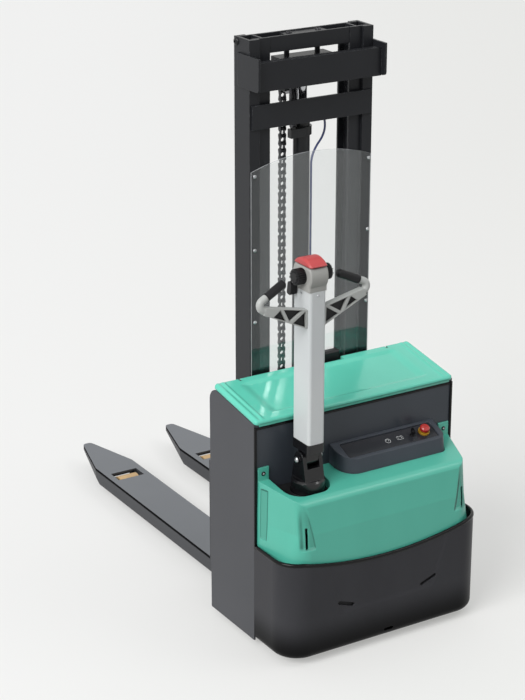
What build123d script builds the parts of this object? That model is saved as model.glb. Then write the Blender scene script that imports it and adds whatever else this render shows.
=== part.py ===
"""Electric pedestrian stacker: pallet forks over support legs on a two-stage mast.

Millimetres. +Z is up, +Y points along the forks, x = 0 is the truck's centre plane,
y = 0 is the seam where the side panels meet the bumper, z = 0 is the floor.
"""
import math
import os

from build123d import *

os.makedirs("parts", exist_ok=True)

# Chassis and its panels
chassis_width = 800.0
panel_thickness = 6.0
panel_depth = 287.0
panel_top = 816.0
panel_corner = 45.0
top_slope = 9.0
ground_clearance = 24.0
plate_thickness = 12.0
bridge_height = 330.0
bridge_thickness = 15.0
bridge_front = 140.0
bridge_inset = 42.0
rail_bottom = 60.0
rail_thickness = 10.0
rail_gap = 6.0
rail_front = 6.0
floor_front = 34.0
battery_floor = 262.0
floor_thickness = 8.0
bulkhead_thickness = 4.0

# Bumper and front cover
bumper_depth = 212.0
bumper_corner = 95.0
bumper_wall = 7.0
bumper_top = 376.0
bumper_dip = 41.0
bumper_dip_width = 660.0
bumper_lower_edge = 28.0
bumper_lip = 14.0
slot_length = 70.0
slot_height = 14.0
slot_tilt = 20.0
slot_reach = 168.0
slot_middle = 195.0
cover_gap = 3.0
cover_wall = 4.0
cover_bottom = 326.0
cover_shoulder = 585.0
cover_waist = 470.0
cover_lean = 26.0
cover_rear_top = 614.0
cover_shoulder_radius = 34.0
cover_crease = 312.0
tab_width = 42.0
tab_height = 46.0
tab_thickness = 5.0
grip_slot_width = 9.0
grip_slot_height = 76.0

# Console on the cover
console_left = -104.0
console_right = 318.0
console_bottom = 560.0
console_depth = 102.0
console_front_top = 648.0
console_rear_top = 683.0
console_lean = 14.0
console_left_radius = 66.0
console_right_radius = 26.0
console_wall = 6.0
faceplate_margin = 12.0
faceplate_recess = 4.0
faceplate_thickness = 2.5
estop_x = 254.0
estop_radius = 17.0
estop_stem = 8.0
estop_travel = 5.0
key_x = 206.0
key_radius = 9.0

# Battery lid
lid_thickness = 13.0
lid_rear = 266.0
lid_tray_depth = 8.0
lid_rim = 46.0
lid_lip_height = 21.0
lid_lip_thickness = 6.0
lid_gap = 0.4
lid_pin_radius = 4.0
lid_hinge_x = 300.0
lid_bracket = 8.0

guard_x = 56.0
guard_width = 96.0
guard_top = 896.0

# Machinery inside
battery_length = 660.0
battery_width = 196.0
battery_height = 480.0
tank_length = 250.0
tank_height = 85.0
pump_motor_radius = 52.0
controller_width = 150.0
controller_height = 150.0

# Drive unit and tiller
steer_x = -236.0
steer_y = -75.0
drive_wheel_radius = 115.0
drive_wheel_width = 76.0
drive_axle_radius = 22.0
motor_radius = 66.0
motor_top = 545.0
brake_radius = 48.0
slew_radius = 100.0
slew_bore = 78.0
slew_height = 12.0
boss_radius = 57.5
boss_bottom = 570.0
boss_top = 624.0
tiller_pin_z = 694.0
tiller_pin_radius = 9.0
tiller_pin_length = 92.0
tube_width = 62.0
tube_depth = 100.0
tube_corner = 10.0
tube_wall = 4.0
tube_bottom = 757.0
tube_top = 1283.0
socket_height = 32.0
head_top = 1362.0
head_overhang = 6.0
wheel_axis_z = 1331.0
thumb_radius = 27.0
thumb_length = 30.0
handle_root_z = 1192.0
handle_root_height = 64.0
handle_reach = 206.0
handle_corner_z = 1262.0
handle_y = -100.0
handle_thickness = 26.0
handle_rib = 2.6
handle_pocket = 10.0
grip_radius = 14.5
grip_run = (118.0, 20.0, 52.0)

# Caster
caster_x = 240.0
caster_y = -80.0
caster_radius = 65.0
caster_trail = 26.0
caster_wheel_width = 50.0
caster_stem = 20.0
caster_axle = 10.0

# Mast
mast_width = 481.0
mast_top = 2011.0
outer_depth = 96.0
outer_web = 10.0
outer_flange = 11.0
outer_flange_width = 39.0
outer_bottom = 90.0
inner_gap = 1.0
inner_flange = 8.0
inner_web = 8.0
inner_outer_width = 39.0
inner_inner_width = 24.0
inner_side_gap = 4.6
inner_bottom = 100.0
roller_gap = 0.3
roller_pin = 12.0
pin_gap = 0.05
lower_roller_z = 146.0
upper_roller_drop = 61.0
ear_thickness = 8.0
ear_drop = 48.0
ear_height = 110.0
ear_reach = 70.0
ear_corner = 12.0
top_tie_inset = 19.0
top_tie_drop = 65.0
top_tie_height = 95.0
tie_thickness = 8.0
tie_lip = 26.0
second_tie_drop = 214.0
second_tie_height = 81.0
second_tie_inset = 6.5
shield_inset = 3.5
shield_thickness = 5.0
shield_lift = 16.5
shield_top_gap = 101.0
shield_arch = 41.0

# Lift cylinder and chain
cylinder_y = 350.0
barrel_radius = 28.5
barrel_bore = 23.0
barrel_drop = 269.0
rod_radius = 18.0
rod_bottom = 150.0
rod_head_drop = 96.0
gland_length = 18.0
gland_wall = 5.5
piston_gap = 0.8
rod_head_thickness = 15.0
rod_head_width = 204.0
stud_spacing = 120.0
stud_radius = 9.0
top_beam_height = 52.0
chain_x = -55.0
chain_pitch = 25.4
chain_plate_height = 19.0
chain_plate_thickness = 2.8
chain_inner_width = 11.0
chain_pin = 9.0
chain_plate_length = 37.0
chain_wheel_links = 4
chain_wheel_drop = 181.0
chain_axle_radius = 9.0
front_anchor_drop = 140.0
rear_anchor_z = 310.0
tube_radius = 3.0

# Forks, legs and carriage
fork_spread = 546.0
fork_width = 162.0
fork_top = 86.8
fork_skirt_bottom = 27.2
fork_plate = 8.0
fork_skirt = 6.0
fork_heel = 505.0
fork_length = 1162.0
fork_taper = 241.0
fork_tip_width = 34.0
fork_tip_thickness = 19.0
fork_nose_lead = 29.0
fork_nose_rise = 18.0
fork_shank = 12.0
fork_shank_top = 470.0
roller_window = (112.0, 68.0)
leg_width = 104.0
leg_wall = 8.0
leg_bottom = 27.0
leg_top = 70.0
load_roller_y = 1310.0
load_roller_radius = 41.0
load_roller_width = 82.0
load_axle_radius = 10.0
carriage_bottom = 100.0
carriage_top = 538.0
carriage_plate = 12.0
carriage_side_gap = 4.0
carriage_lower_roller_z = 150.0
carriage_upper_roller_z = 496.0

# Places that follow from the sizes above
half_width = chassis_width / 2
inside = half_width - panel_thickness
mast_front = panel_depth
mast_back = mast_front + outer_depth
mast_mid = mast_front + outer_depth / 2
outer_inner_x = mast_width / 2 - outer_web
inner_front = mast_front + outer_flange + inner_gap
inner_depth = outer_depth - 2 * (outer_flange + inner_gap)
inner_back = inner_front + inner_depth
inner_web_x = outer_inner_x - inner_side_gap - inner_outer_width - inner_web
inner_edge_x = inner_web_x - inner_inner_width
inner_outer_edge_x = inner_web_x + inner_web + inner_outer_width
large_roller = outer_depth / 2 - outer_flange - roller_gap
small_roller = inner_depth / 2 - inner_flange - roller_gap
slope = math.tan(math.radians(top_slope))
head_width = tube_width + head_overhang
rear_top = panel_top + slope * panel_depth - 40
upper_roller_z = mast_top - upper_roller_drop
ear_top = mast_top - ear_drop
top_tie_top = mast_top - top_tie_drop
second_tie_top = mast_top - second_tie_drop
second_tie_bottom = second_tie_top - second_tie_height
shield_bottom = rear_top + shield_lift
barrel_top = mast_top - barrel_drop
rod_top = mast_top - rod_head_drop
chain_wheel_z = mast_top - chain_wheel_drop
gland_radius = barrel_radius + gland_wall
fork_centre = (fork_spread - fork_width) / 2
fork_tip = fork_heel + fork_length
motor_bottom = bridge_height - slew_height
tiller_axis = (steer_x, steer_y)
chain_wheel_radius = chain_pitch / 2 / math.sin(math.pi / 2 / chain_wheel_links)
front_strand_y = cylinder_y - chain_wheel_radius
rear_strand_y = cylinder_y + chain_wheel_radius
front_links = int(front_anchor_drop / chain_pitch)
rear_links = int((chain_wheel_z - rear_anchor_z) / chain_pitch)
chain_half_width = chain_inner_width / 2 + 2 * chain_plate_thickness
carriage_side_x = inner_edge_x - carriage_side_gap


def panel_line(y):
    return panel_top + slope * y


def block(low, high, mode=Mode.ADD):
    """A box between two corners, added to the part that is being built."""
    size = [b - a for a, b in zip(low, high)]
    with Locations(tuple((a + b) / 2 for a, b in zip(low, high))):
        Box(*size, mode=mode)


def round_bar(start, end, radius, mode=Mode.ADD):
    """A cylinder from one point to another, added to the part that is being built."""
    run = Vector(*end) - Vector(*start)
    with BuildSketch(Plane(origin=start, z_dir=run)) as section:
        Circle(radius)
    extrude(section.sketch, amount=run.length, mode=mode)


def prism(points, plane, depth, mode=Mode.ADD):
    """A straight-sided outline on a plane, extruded along the plane's normal."""
    with BuildSketch(plane) as section:
        with BuildLine():
            Polyline(*points, close=True)
        make_face()
    extrude(section.sketch, amount=depth, mode=mode)


def save(builder, name):
    builder.part.label = name
    export_step(builder.part, f"parts/{name}.step")


# Chassis frame: mast plate, battery floor, side rails and the bridge over the wheels
with BuildPart() as chassis_frame:
    rail_x = inside - rail_gap
    block((-inside, panel_depth - plate_thickness, rail_bottom), (inside, panel_depth, rear_top))
    block(
        (-rail_x, floor_front, battery_floor),
        (rail_x, panel_depth - plate_thickness, battery_floor + floor_thickness),
    )
    bridge_top = bridge_height + bridge_thickness
    bridge_x = half_width - bridge_inset
    block((-bridge_x, -bridge_front, bridge_height), (bridge_x, rail_front, bridge_top))
    block((-rail_x, rail_front, bridge_height), (rail_x, rail_front + 24, bridge_top))
    for side in (-1, 1):
        x0, x1 = sorted((side * (rail_x - rail_thickness), side * rail_x))
        block((x0, rail_front, rail_bottom), (x1, panel_depth - plate_thickness, bridge_height))
    round_bar(
        (steer_x, steer_y, bridge_height - 1),
        (steer_x, steer_y, bridge_height + bridge_thickness + 1),
        slew_bore,
        Mode.SUBTRACT,
    )
    round_bar(
        (caster_x, caster_y, bridge_height - 1),
        (caster_x, caster_y, bridge_height + bridge_thickness + 1),
        caster_stem + pin_gap,
        Mode.SUBTRACT,
    )
    hinge_y = lid_rear - 10
    hinge_z = panel_line(hinge_y) + lid_thickness / 2
    for side in (-1, 1):
        x = side * lid_hinge_x
        block(
            (x - lid_bracket / 2, hinge_y - 6, rear_top - 30),
            (x + lid_bracket / 2, hinge_y + 6, hinge_z),
        )
        block(
            (x - lid_bracket / 2, hinge_y - 6, rear_top - 30),
            (x + lid_bracket / 2, panel_depth - plate_thickness, rear_top - 8),
        )
        round_bar((x - 18, hinge_y, hinge_z), (x + 18, hinge_y, hinge_z), lid_pin_radius)
save(chassis_frame, "chassis_frame")

# Side panels: folded plates whose top edge falls towards the operator
for side, name in ((-1, "side_panel_left"), (1, "side_panel_right")):
    with BuildPart() as side_panel:
        with BuildSketch(Plane.YZ.offset(min(side * half_width, side * inside))) as outline:
            with BuildLine():
                Polyline(
                    (0, ground_clearance),
                    (panel_depth, ground_clearance),
                    (panel_depth, panel_line(panel_depth)),
                    (0, panel_top),
                    close=True,
                )
            make_face()
            fillet(outline.vertices().group_by(Axis.Y)[-1].sort_by(Axis.Z)[-1], panel_corner)
            fillet(outline.vertices().group_by(Axis.Y)[-1].sort_by(Axis.Z)[0], panel_corner / 4)
        extrude(amount=panel_thickness)
    save(side_panel, name)

# Bulkhead between the battery and the operator's cover
with BuildPart() as bulkhead_panel:
    block(
        (-inside, 0, bridge_height + bridge_thickness),
        (inside, bulkhead_thickness, panel_top - 3),
    )
save(bulkhead_panel, "bulkhead_panel")


def bumper_outline(inset):
    """Plan of the apron: straight sides, round front corners, flat front."""
    with BuildSketch() as plan:
        with BuildLine():
            x = half_width - inset
            y = bumper_depth - inset
            r = bumper_corner - inset
            Line((-x, 0), (-x, r - y))
            RadiusArc((-x, r - y), (r - x, -y), -r)
            Line((r - x, -y), (x - r, -y))
            RadiusArc((x - r, -y), (x, r - y), -r)
            Line((x, r - y), (x, 0))
            Line((x, 0), (-x, 0))
        make_face()
    return plan.sketch


def bumper_body(inset, top):
    """The apron's solid form with a round lower edge, drawn in by a wall thickness."""
    with BuildPart() as body:
        bottom = ground_clearance + inset
        extrude(Plane.XY.offset(bottom) * bumper_outline(inset), amount=top - bottom)
        lower = body.faces().sort_by(Axis.Z)[0].edges()
        fillet(lower.filter_by(lambda e: e.center().Y < -1), bumper_lower_edge - inset)
    return body.part


# Bumper: moulded apron with a turned-in lower edge and a dipped top rim
with BuildPart() as bumper:
    add(bumper_body(0, bumper_top))
    add(bumper_body(bumper_wall, bumper_top + 1), mode=Mode.SUBTRACT)
    lip_plan = Plane.XY.offset(ground_clearance) * bumper_outline(bumper_lower_edge + bumper_lip)
    extrude(lip_plan, amount=bumper_wall, mode=Mode.SUBTRACT)
    with BuildSketch(Plane.XZ.offset(bumper_depth + 1)) as dip:
        with BuildLine():
            left = (-bumper_dip_width / 2, bumper_top)
            right = (bumper_dip_width / 2, bumper_top)
            ThreePointArc(left, (0, bumper_top - bumper_dip), right)
            Polyline(right, (right[0], bumper_top + 5), (left[0], bumper_top + 5), left)
        make_face()
    extrude(dip.sketch, amount=-bumper_depth, mode=Mode.SUBTRACT)
    with BuildSketch(Plane.XZ.offset(bumper_depth + 1)) as slots:
        for side in (-1, 1):
            with Locations(Location((side * slot_reach, slot_middle), side * slot_tilt)):
                SlotOverall(slot_length, slot_height)
        with Locations((8, ground_clearance + bumper_lower_edge)):
            SlotOverall(40, 11)
    extrude(slots.sketch, amount=-bumper_wall * 3, mode=Mode.SUBTRACT)
save(bumper, "bumper")


def cover_section(inset, height, side, crease, front, corner):
    """A level cut of the cover: a flat front, a slanted facet each side and rounded edges between them."""
    rear = Vector(side - inset, 0)
    edge = Vector(crease - inset, inset - front)
    along = (rear - edge).normalized()
    inward = (along + Vector(-1, 0)).normalized()
    half_turn = math.radians(inward.get_angle(along))
    leave = edge - Vector(corner / math.tan(half_turn), 0)
    middle = edge + inward * (corner / math.sin(half_turn) - corner)
    arrive = edge + along * (corner / math.tan(half_turn))
    right = [(point.X, point.Y) for point in (leave, middle, arrive)]
    left = [(-x, y) for x, y in right]
    with BuildSketch(Plane.XY.offset(height)) as plan:
        with BuildLine():
            Line((-rear.X, 0), left[2])
            ThreePointArc(left[2], left[1], left[0])
            Line(left[0], right[0])
            ThreePointArc(right[0], right[1], right[2])
            Line(right[2], (rear.X, 0))
            Line((rear.X, 0), (-rear.X, 0))
        make_face()
    return plan.sketch


def cover_body(inset):
    """The cover's moulded form, drawn in by a wall thickness."""
    rim = half_width - bumper_wall - cover_gap
    front = bumper_depth - bumper_wall - cover_gap
    lean = cover_lean + 8
    shoulder = (inset - front + cover_lean - 3, cover_shoulder - inset)
    with BuildPart() as body:
        loft(
            [
                cover_section(inset, cover_bottom, rim, rim - 16, front, bumper_corner - 11),
                cover_section(inset, cover_waist, rim, cover_crease + 18, front - 8, 40),
                cover_section(inset, cover_rear_top + 46, rim - 4, cover_crease + 22, front - lean, 40),
            ],
            ruled=True,
        )
        with BuildSketch(Plane.YZ.offset(-half_width)) as profile:
            with BuildLine():
                Polyline(
                    (1, cover_bottom - 1),
                    (-bumper_depth, cover_bottom - 1),
                    (-bumper_depth, shoulder[1] - 60),
                    (shoulder[0] - 7, shoulder[1] - 49),
                    shoulder,
                    (1, cover_rear_top - inset),
                    close=True,
                )
            make_face()
            nearest = profile.vertices().sort_by(lambda v: math.dist((v.X, v.Y), shoulder))[0]
            fillet(nearest, cover_shoulder_radius - inset)
        extrude(profile.sketch, amount=chassis_width, mode=Mode.INTERSECT)
    return body.part


well_floor = boss_bottom + 6


def tiller_pocket(grow):
    """The well in the cover that the tiller foot stands in, with sloping walls."""
    with BuildPart() as pocket:
        with BuildSketch(Plane.XY.offset(well_floor - grow)) as plan:
            with BuildLine():
                left = steer_x - 98 - grow
                right = steer_x + 64 + grow
                front = steer_y - 64 - grow
                Polyline((left, 30), (left, front), (right, front), (right, 30), close=True)
            make_face()
            fillet(plan.vertices().group_by(Axis.Y)[0], 56 + grow)
        extrude(amount=cover_rear_top, taper=-16)
    return pocket.part


def console_form(grow):
    """The console's outer form: leaning front, sloping top and rounded ends."""
    with BuildPart() as form:
        with BuildSketch(Plane.YZ.offset(console_left - grow)) as profile:
            with BuildLine():
                Polyline(
                    (0, console_bottom - grow),
                    (-console_depth - grow, console_bottom - grow),
                    (-console_depth + console_lean - grow, console_front_top + grow),
                    (0, console_rear_top + grow),
                    close=True,
                )
            make_face()
        extrude(profile.sketch, amount=console_right - console_left + 2 * grow)
        front = form.faces().sort_by(Axis.Y)[0]
        ends = front.edges().filter_by(lambda e: abs(e.tangent_at(0.5).X) < 0.5).sort_by(Axis.X)
        fillet(ends[0], console_left_radius)
        upright = form.edges().filter_by(lambda e: abs(e.tangent_at(0.5).Z) > 0.8 and e.center().Y < -60)
        fillet(upright.sort_by(Axis.X)[-1], console_right_radius)
    return form.part


def cover_with_pocket(inset):
    """The cover's form with the tiller well taken out of it."""
    with BuildPart() as body:
        add(cover_body(inset))
        add(tiller_pocket(inset), mode=Mode.SUBTRACT)
    return body.part


# Front cover: moulded shell with side facets, a tiller well and a seat for the console
with BuildPart() as front_cover:
    add(cover_with_pocket(0))
    add(cover_with_pocket(cover_wall), mode=Mode.SUBTRACT)
    add(console_form(1.5), mode=Mode.SUBTRACT)
    round_bar(
        (steer_x, steer_y, well_floor - 2 * cover_wall),
        (steer_x, steer_y, well_floor + 1),
        boss_radius + 3,
        Mode.SUBTRACT,
    )
    for side in (-1, 1):
        x1 = half_width - bumper_wall - cover_gap - 3
        low, high = sorted((side * x1, side * (x1 - tab_width)))
        block((low, -tab_thickness, cover_rear_top - 8), (high, 0, cover_rear_top + tab_height))
        with BuildSketch(Plane.XZ.offset(bumper_depth)) as grip_slot:
            with Locations((side * (cover_crease + 2), 462)):
                SlotOverall(grip_slot_height, grip_slot_width, rotation=90)
        extrude(grip_slot.sketch, amount=-60, mode=Mode.SUBTRACT)
save(front_cover, "front_cover")

# Rubber mat on the floor of the tiller well
with BuildPart() as tiller_well:
    with BuildSketch(Plane.XY.offset(well_floor)) as mat:
        with BuildLine():
            left, right = steer_x - 96, steer_x + 62
            Polyline((left, 0), (left, steer_y - 62), (right, steer_y - 62), (right, 0), close=True)
        make_face()
        fillet(mat.vertices().group_by(Axis.Y)[0], 54)
        with Locations(tiller_axis):
            Circle(boss_radius + 2, mode=Mode.SUBTRACT)
    extrude(amount=3)
save(tiller_well, "tiller_well")

# Console: hollow moulding with a sunken faceplate
face_slope = math.atan2(console_rear_top - console_front_top, console_depth - console_lean)
face_plane = Plane(
    origin=(0, -(console_depth - console_lean) / 2, (console_front_top + console_rear_top) / 2),
    x_dir=(1, 0, 0),
    z_dir=(0, -math.sin(face_slope), math.cos(face_slope)),
)
face_length = (console_depth - console_lean) / math.cos(face_slope)
plate_left = console_left + 30
plate_right = console_right - 20
plate_size = (plate_right - plate_left, face_length - 2 * faceplate_margin)
plate_centre = (plate_left + plate_right) / 2
plate_floor = face_plane.offset(-faceplate_recess - faceplate_thickness)
with BuildPart() as console:
    add(console_form(0))
    hollow_left = console_left + console_left_radius
    with BuildSketch(Plane.YZ.offset(hollow_left)) as hollow:
        with BuildLine():
            Polyline(
                (-console_wall, console_bottom),
                (-console_depth + console_wall, console_bottom),
                (-console_depth + console_lean + console_wall, console_front_top - 16),
                (-console_wall, console_rear_top - 20),
                close=True,
            )
        make_face()
    extrude(hollow.sketch, amount=console_right - 12 - hollow_left, mode=Mode.SUBTRACT)
    with BuildSketch(face_plane) as recess:
        with Locations((plate_centre, 0)):
            RectangleRounded(*plate_size, 8)
    extrude(recess.sketch, amount=-faceplate_recess - faceplate_thickness, mode=Mode.SUBTRACT)
    with BuildSketch(face_plane) as stem_holes:
        with Locations((estop_x, 0)):
            Circle(estop_stem + 1)
        with Locations((key_x, 0)):
            Circle(key_radius + 1)
    extrude(stem_holes.sketch, amount=-60, mode=Mode.SUBTRACT)
save(console, "console")

with BuildPart() as console_faceplate:
    with BuildSketch(plate_floor) as plate:
        with Locations((plate_centre, 0)):
            RectangleRounded(plate_size[0] - 1, plate_size[1] - 1, 7.5)
        with Locations((estop_x, 0)):
            Circle(estop_stem + 0.3, mode=Mode.SUBTRACT)
        with Locations((key_x, 0)):
            Circle(key_radius + 0.3, mode=Mode.SUBTRACT)
    extrude(amount=faceplate_thickness)
save(console_faceplate, "console_faceplate")

# Emergency stop: yellow collar on the faceplate, red mushroom with its stem
collar_height = 7.0
with BuildPart() as estop_collar:
    with BuildSketch(face_plane.offset(-faceplate_recess)):
        with Locations((estop_x, 0)):
            Circle(estop_radius + 3)
            Circle(estop_stem + 0.3, mode=Mode.SUBTRACT)
    extrude(amount=collar_height)
save(estop_collar, "estop_collar")

with BuildPart() as estop_button:
    button_base = face_plane.offset(collar_height - faceplate_recess + estop_travel + 1)
    with BuildSketch(button_base):
        with Locations((estop_x, 0)):
            Circle(estop_radius)
    extrude(amount=13)
    chamfer(estop_button.faces().sort_by(Axis.Z)[-1].edges(), 4)
    with BuildSketch(button_base):
        with Locations((estop_x, 0)):
            Circle(estop_stem)
    extrude(amount=-30)
save(estop_button, "estop_button")

with BuildPart() as ignition_key:
    with BuildSketch(face_plane.offset(-faceplate_recess + 2)):
        with Locations((key_x, 0)):
            Circle(key_radius)
    extrude(amount=-22)
    with BuildSketch(face_plane.offset(-faceplate_recess + 2)):
        with Locations((key_x, 0)):
            Rectangle(3, 13)
    extrude(amount=10)
    bow_centre = face_plane.from_local_coords((key_x - 1.5, 0, 14))
    with BuildSketch(Plane(bow_centre, x_dir=(0, 1, 0), z_dir=(1, 0, 0))):
        Circle(12)
        Circle(4, mode=Mode.SUBTRACT)
    extrude(amount=3)
save(ignition_key, "ignition_key")

# Battery lid: sloping moulding with a sunken tray, a front lip and pinned rear corners
lid_plane = Plane(
    origin=(0, 0, panel_top + lid_gap),
    x_dir=(1, 0, 0),
    z_dir=(0, -math.sin(math.radians(top_slope)), math.cos(math.radians(top_slope))),
)
lid_half = half_width - 2
lid_front = -8.0
lid_length = lid_rear / math.cos(math.radians(top_slope))
with BuildPart() as battery_lid:
    with BuildSketch(lid_plane):
        with Locations((0, (lid_front + lid_length) / 2)):
            RectangleRounded(2 * lid_half, lid_length - lid_front, 14)
    extrude(amount=lid_thickness)
    top = battery_lid.faces().filter_by(lambda f: f.normal_at().Z > 0.9).sort_by(Axis.Z)[-1]
    fillet(top.edges(), 6)
    with BuildSketch(lid_plane.offset(lid_thickness)):
        with Locations((0, lid_length / 2)):
            RectangleRounded(2 * (lid_half - lid_rim), lid_length - 2 * lid_rim, 26)
    extrude(amount=-lid_tray_depth, taper=20, mode=Mode.SUBTRACT)
    with BuildSketch(lid_plane.offset(lid_thickness - lid_lip_height)):
        with Locations((0, lid_front + lid_lip_thickness / 2)):
            Rectangle(2 * lid_half - 30, lid_lip_thickness)
    extrude(amount=lid_lip_height - 7)
    for side in (-1, 1):
        x = side * lid_hinge_x
        notch = lid_bracket / 2 + 0.5
        block(
            (x - notch, hinge_y - 8, hinge_z - 30),
            (x + notch, lid_rear + 5, hinge_z + 30),
            Mode.SUBTRACT,
        )
        bore = lid_pin_radius + pin_gap
        round_bar((x - 20, hinge_y, hinge_z), (x + 20, hinge_y, hinge_z), bore, Mode.SUBTRACT)
    block(
        (guard_x - guard_width / 2 - 8, lid_rear - 24, hinge_z - 40),
        (guard_x + guard_width / 2 + 8, lid_rear + 5, hinge_z + 40),
        Mode.SUBTRACT,
    )
save(battery_lid, "battery_lid")

# Hose guard standing in the lid's rear notch, in front of the mast shield
with BuildPart() as hose_guard:
    guard_front = lid_rear - 8
    block(
        (guard_x - guard_width / 2, guard_front, rear_top),
        (guard_x + guard_width / 2, mast_front - shield_thickness, guard_top),
    )
    chamfer(hose_guard.edges().group_by(Axis.Z)[-1].sort_by(Axis.Y)[0], 6)
save(hose_guard, "hose_guard")

# Traction battery: steel case with cell lids
with BuildPart() as battery:
    battery_front = (bulkhead_thickness + panel_depth - plate_thickness - battery_width) / 2
    battery_bottom = battery_floor + floor_thickness
    block(
        (-battery_length / 2, battery_front, battery_bottom),
        (battery_length / 2, battery_front + battery_width, battery_bottom + battery_height),
    )
    case_top = Plane.XY.offset(battery_bottom + battery_height)
    with BuildSketch(case_top):
        with Locations((0, battery_front + battery_width / 2)):
            with GridLocations(battery_length / 6, battery_width / 2, 6, 2):
                Rectangle(battery_length / 6 - 8, battery_width / 2 - 8)
    extrude(amount=8)
save(battery, "battery")

# Hydraulic power pack: tank on the bridge, pump block and electric motor above it
with BuildPart() as power_pack:
    pack_left = 70.0
    pack_y = -80.0
    tank_top = bridge_top + tank_height
    block((pack_left, pack_y - 55, bridge_top), (pack_left + tank_length, pack_y + 55, tank_top))
    fillet(power_pack.edges().filter_by(Axis.Z), 14)
    motor_z = tank_top + pump_motor_radius
    block((pack_left + 195, pack_y - 34, tank_top), (pack_left + 240, pack_y + 34, motor_z + 34))
    round_bar((pack_left + 15, pack_y, motor_z), (pack_left + 195, pack_y, motor_z), pump_motor_radius)
save(power_pack, "power_pack")

# Motor controller with cooling fins, on the bulkhead
with BuildPart() as motor_controller:
    controller_left = -136.0
    controller_bottom = 372.0
    controller_right = controller_left + controller_width
    controller_top = controller_bottom + controller_height
    block((controller_left, -12, controller_bottom), (controller_right, 0, controller_top))
    for row in range(6):
        x = controller_left + 6 + row * (controller_width - 20) / 5
        block((x, -40, controller_bottom + 8), (x + 8, -12, controller_top - 8))
save(motor_controller, "motor_controller")

# Slewing ring under the bridge and the drive unit that turns in it
with BuildPart() as slew_ring:
    with BuildSketch(Plane.XY.offset(motor_bottom)):
        with Locations(tiller_axis):
            Circle(slew_radius)
            Circle(slew_bore, mode=Mode.SUBTRACT)
    extrude(amount=slew_height)
save(slew_ring, "slew_ring")

wheel_side = steer_x + drive_wheel_width / 2
with BuildPart() as drive_gearbox:
    flange_top = motor_bottom - roller_gap
    spigot_top = bridge_height - 2
    round_bar((steer_x, steer_y, flange_top - 18), (steer_x, steer_y, flange_top), slew_radius - 4)
    round_bar((steer_x, steer_y, flange_top), (steer_x, steer_y, spigot_top), slew_bore - roller_gap)
    with BuildSketch(Plane.YZ.offset(wheel_side + 4)) as leg:
        with Locations((steer_y, drive_wheel_radius)):
            Circle(56)
        with Locations((steer_y, (drive_wheel_radius + flange_top - 18) / 2)):
            Rectangle(112, flange_top - 18 - drive_wheel_radius)
    extrude(leg.sketch, amount=44)
    round_bar(
        (wheel_side + 4, steer_y, drive_wheel_radius),
        (steer_x - drive_wheel_width / 2 + 6, steer_y, drive_wheel_radius),
        drive_axle_radius,
    )
save(drive_gearbox, "drive_gearbox")

with BuildPart() as drive_motor:
    round_bar((steer_x, steer_y, spigot_top), (steer_x, steer_y, motor_top), motor_radius)
    round_bar((steer_x, steer_y, motor_top), (steer_x, steer_y, boss_bottom), brake_radius)
save(drive_motor, "drive_motor")

# Drive wheel: tyre with a dished hub, turning on the gearbox axle
with BuildPart() as drive_wheel:
    with BuildSketch(Plane.YZ.offset(steer_x - drive_wheel_width / 2)):
        with Locations((steer_y, drive_wheel_radius)):
            Circle(drive_wheel_radius)
            Circle(drive_axle_radius + pin_gap, mode=Mode.SUBTRACT)
    extrude(amount=drive_wheel_width)
    with BuildSketch(Plane.YZ.offset(steer_x - drive_wheel_width / 2)):
        with Locations((steer_y, drive_wheel_radius)):
            Circle(drive_wheel_radius - 30)
            Circle(drive_axle_radius + 16, mode=Mode.SUBTRACT)
    extrude(amount=14, mode=Mode.SUBTRACT)
save(drive_wheel, "drive_wheel")

# Tiller foot: boss, two cheeks and the hinge pin
cheek_inner = 24.0
cheek_outer = 37.0
cheek_radius = 27.0
saddle_gap = 2.0
with BuildPart() as tiller_base:
    round_bar((steer_x, steer_y, boss_bottom), (steer_x, steer_y, boss_top), boss_radius)
    chamfer(tiller_base.edges().group_by(Axis.Z)[-1], 6)
    for side in (-1, 1):
        with BuildSketch(Plane.YZ.offset(steer_x + min(side * cheek_inner, side * cheek_outer))) as cheek:
            with BuildLine():
                Polyline(
                    (steer_y - 44, boss_top - 10),
                    (steer_y + 44, boss_top - 10),
                    (steer_y + cheek_radius, tiller_pin_z),
                    (steer_y - cheek_radius, tiller_pin_z),
                    close=True,
                )
            make_face()
            with Locations((steer_y, tiller_pin_z)):
                Circle(cheek_radius)
        extrude(cheek.sketch, amount=cheek_outer - cheek_inner)
    # saddle between the cheeks, just clear of the tongue that swings on the pin
    saddle_top = tiller_pin_z - cheek_radius - saddle_gap
    saddle_half = 44 - (44 - cheek_radius) * (saddle_top - boss_top + 10) / (tiller_pin_z - boss_top + 10)
    prism(
        (
            (steer_y - 44, boss_top - 10),
            (steer_y + 44, boss_top - 10),
            (steer_y + saddle_half, saddle_top),
            (steer_y - saddle_half, saddle_top),
        ),
        Plane.YZ.offset(steer_x - cheek_inner),
        2 * cheek_inner,
    )
    round_bar(
        (steer_x - tiller_pin_length / 2, steer_y, tiller_pin_z),
        (steer_x + tiller_pin_length / 2, steer_y, tiller_pin_z),
        tiller_pin_radius,
    )
save(tiller_base, "tiller_base")

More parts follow.
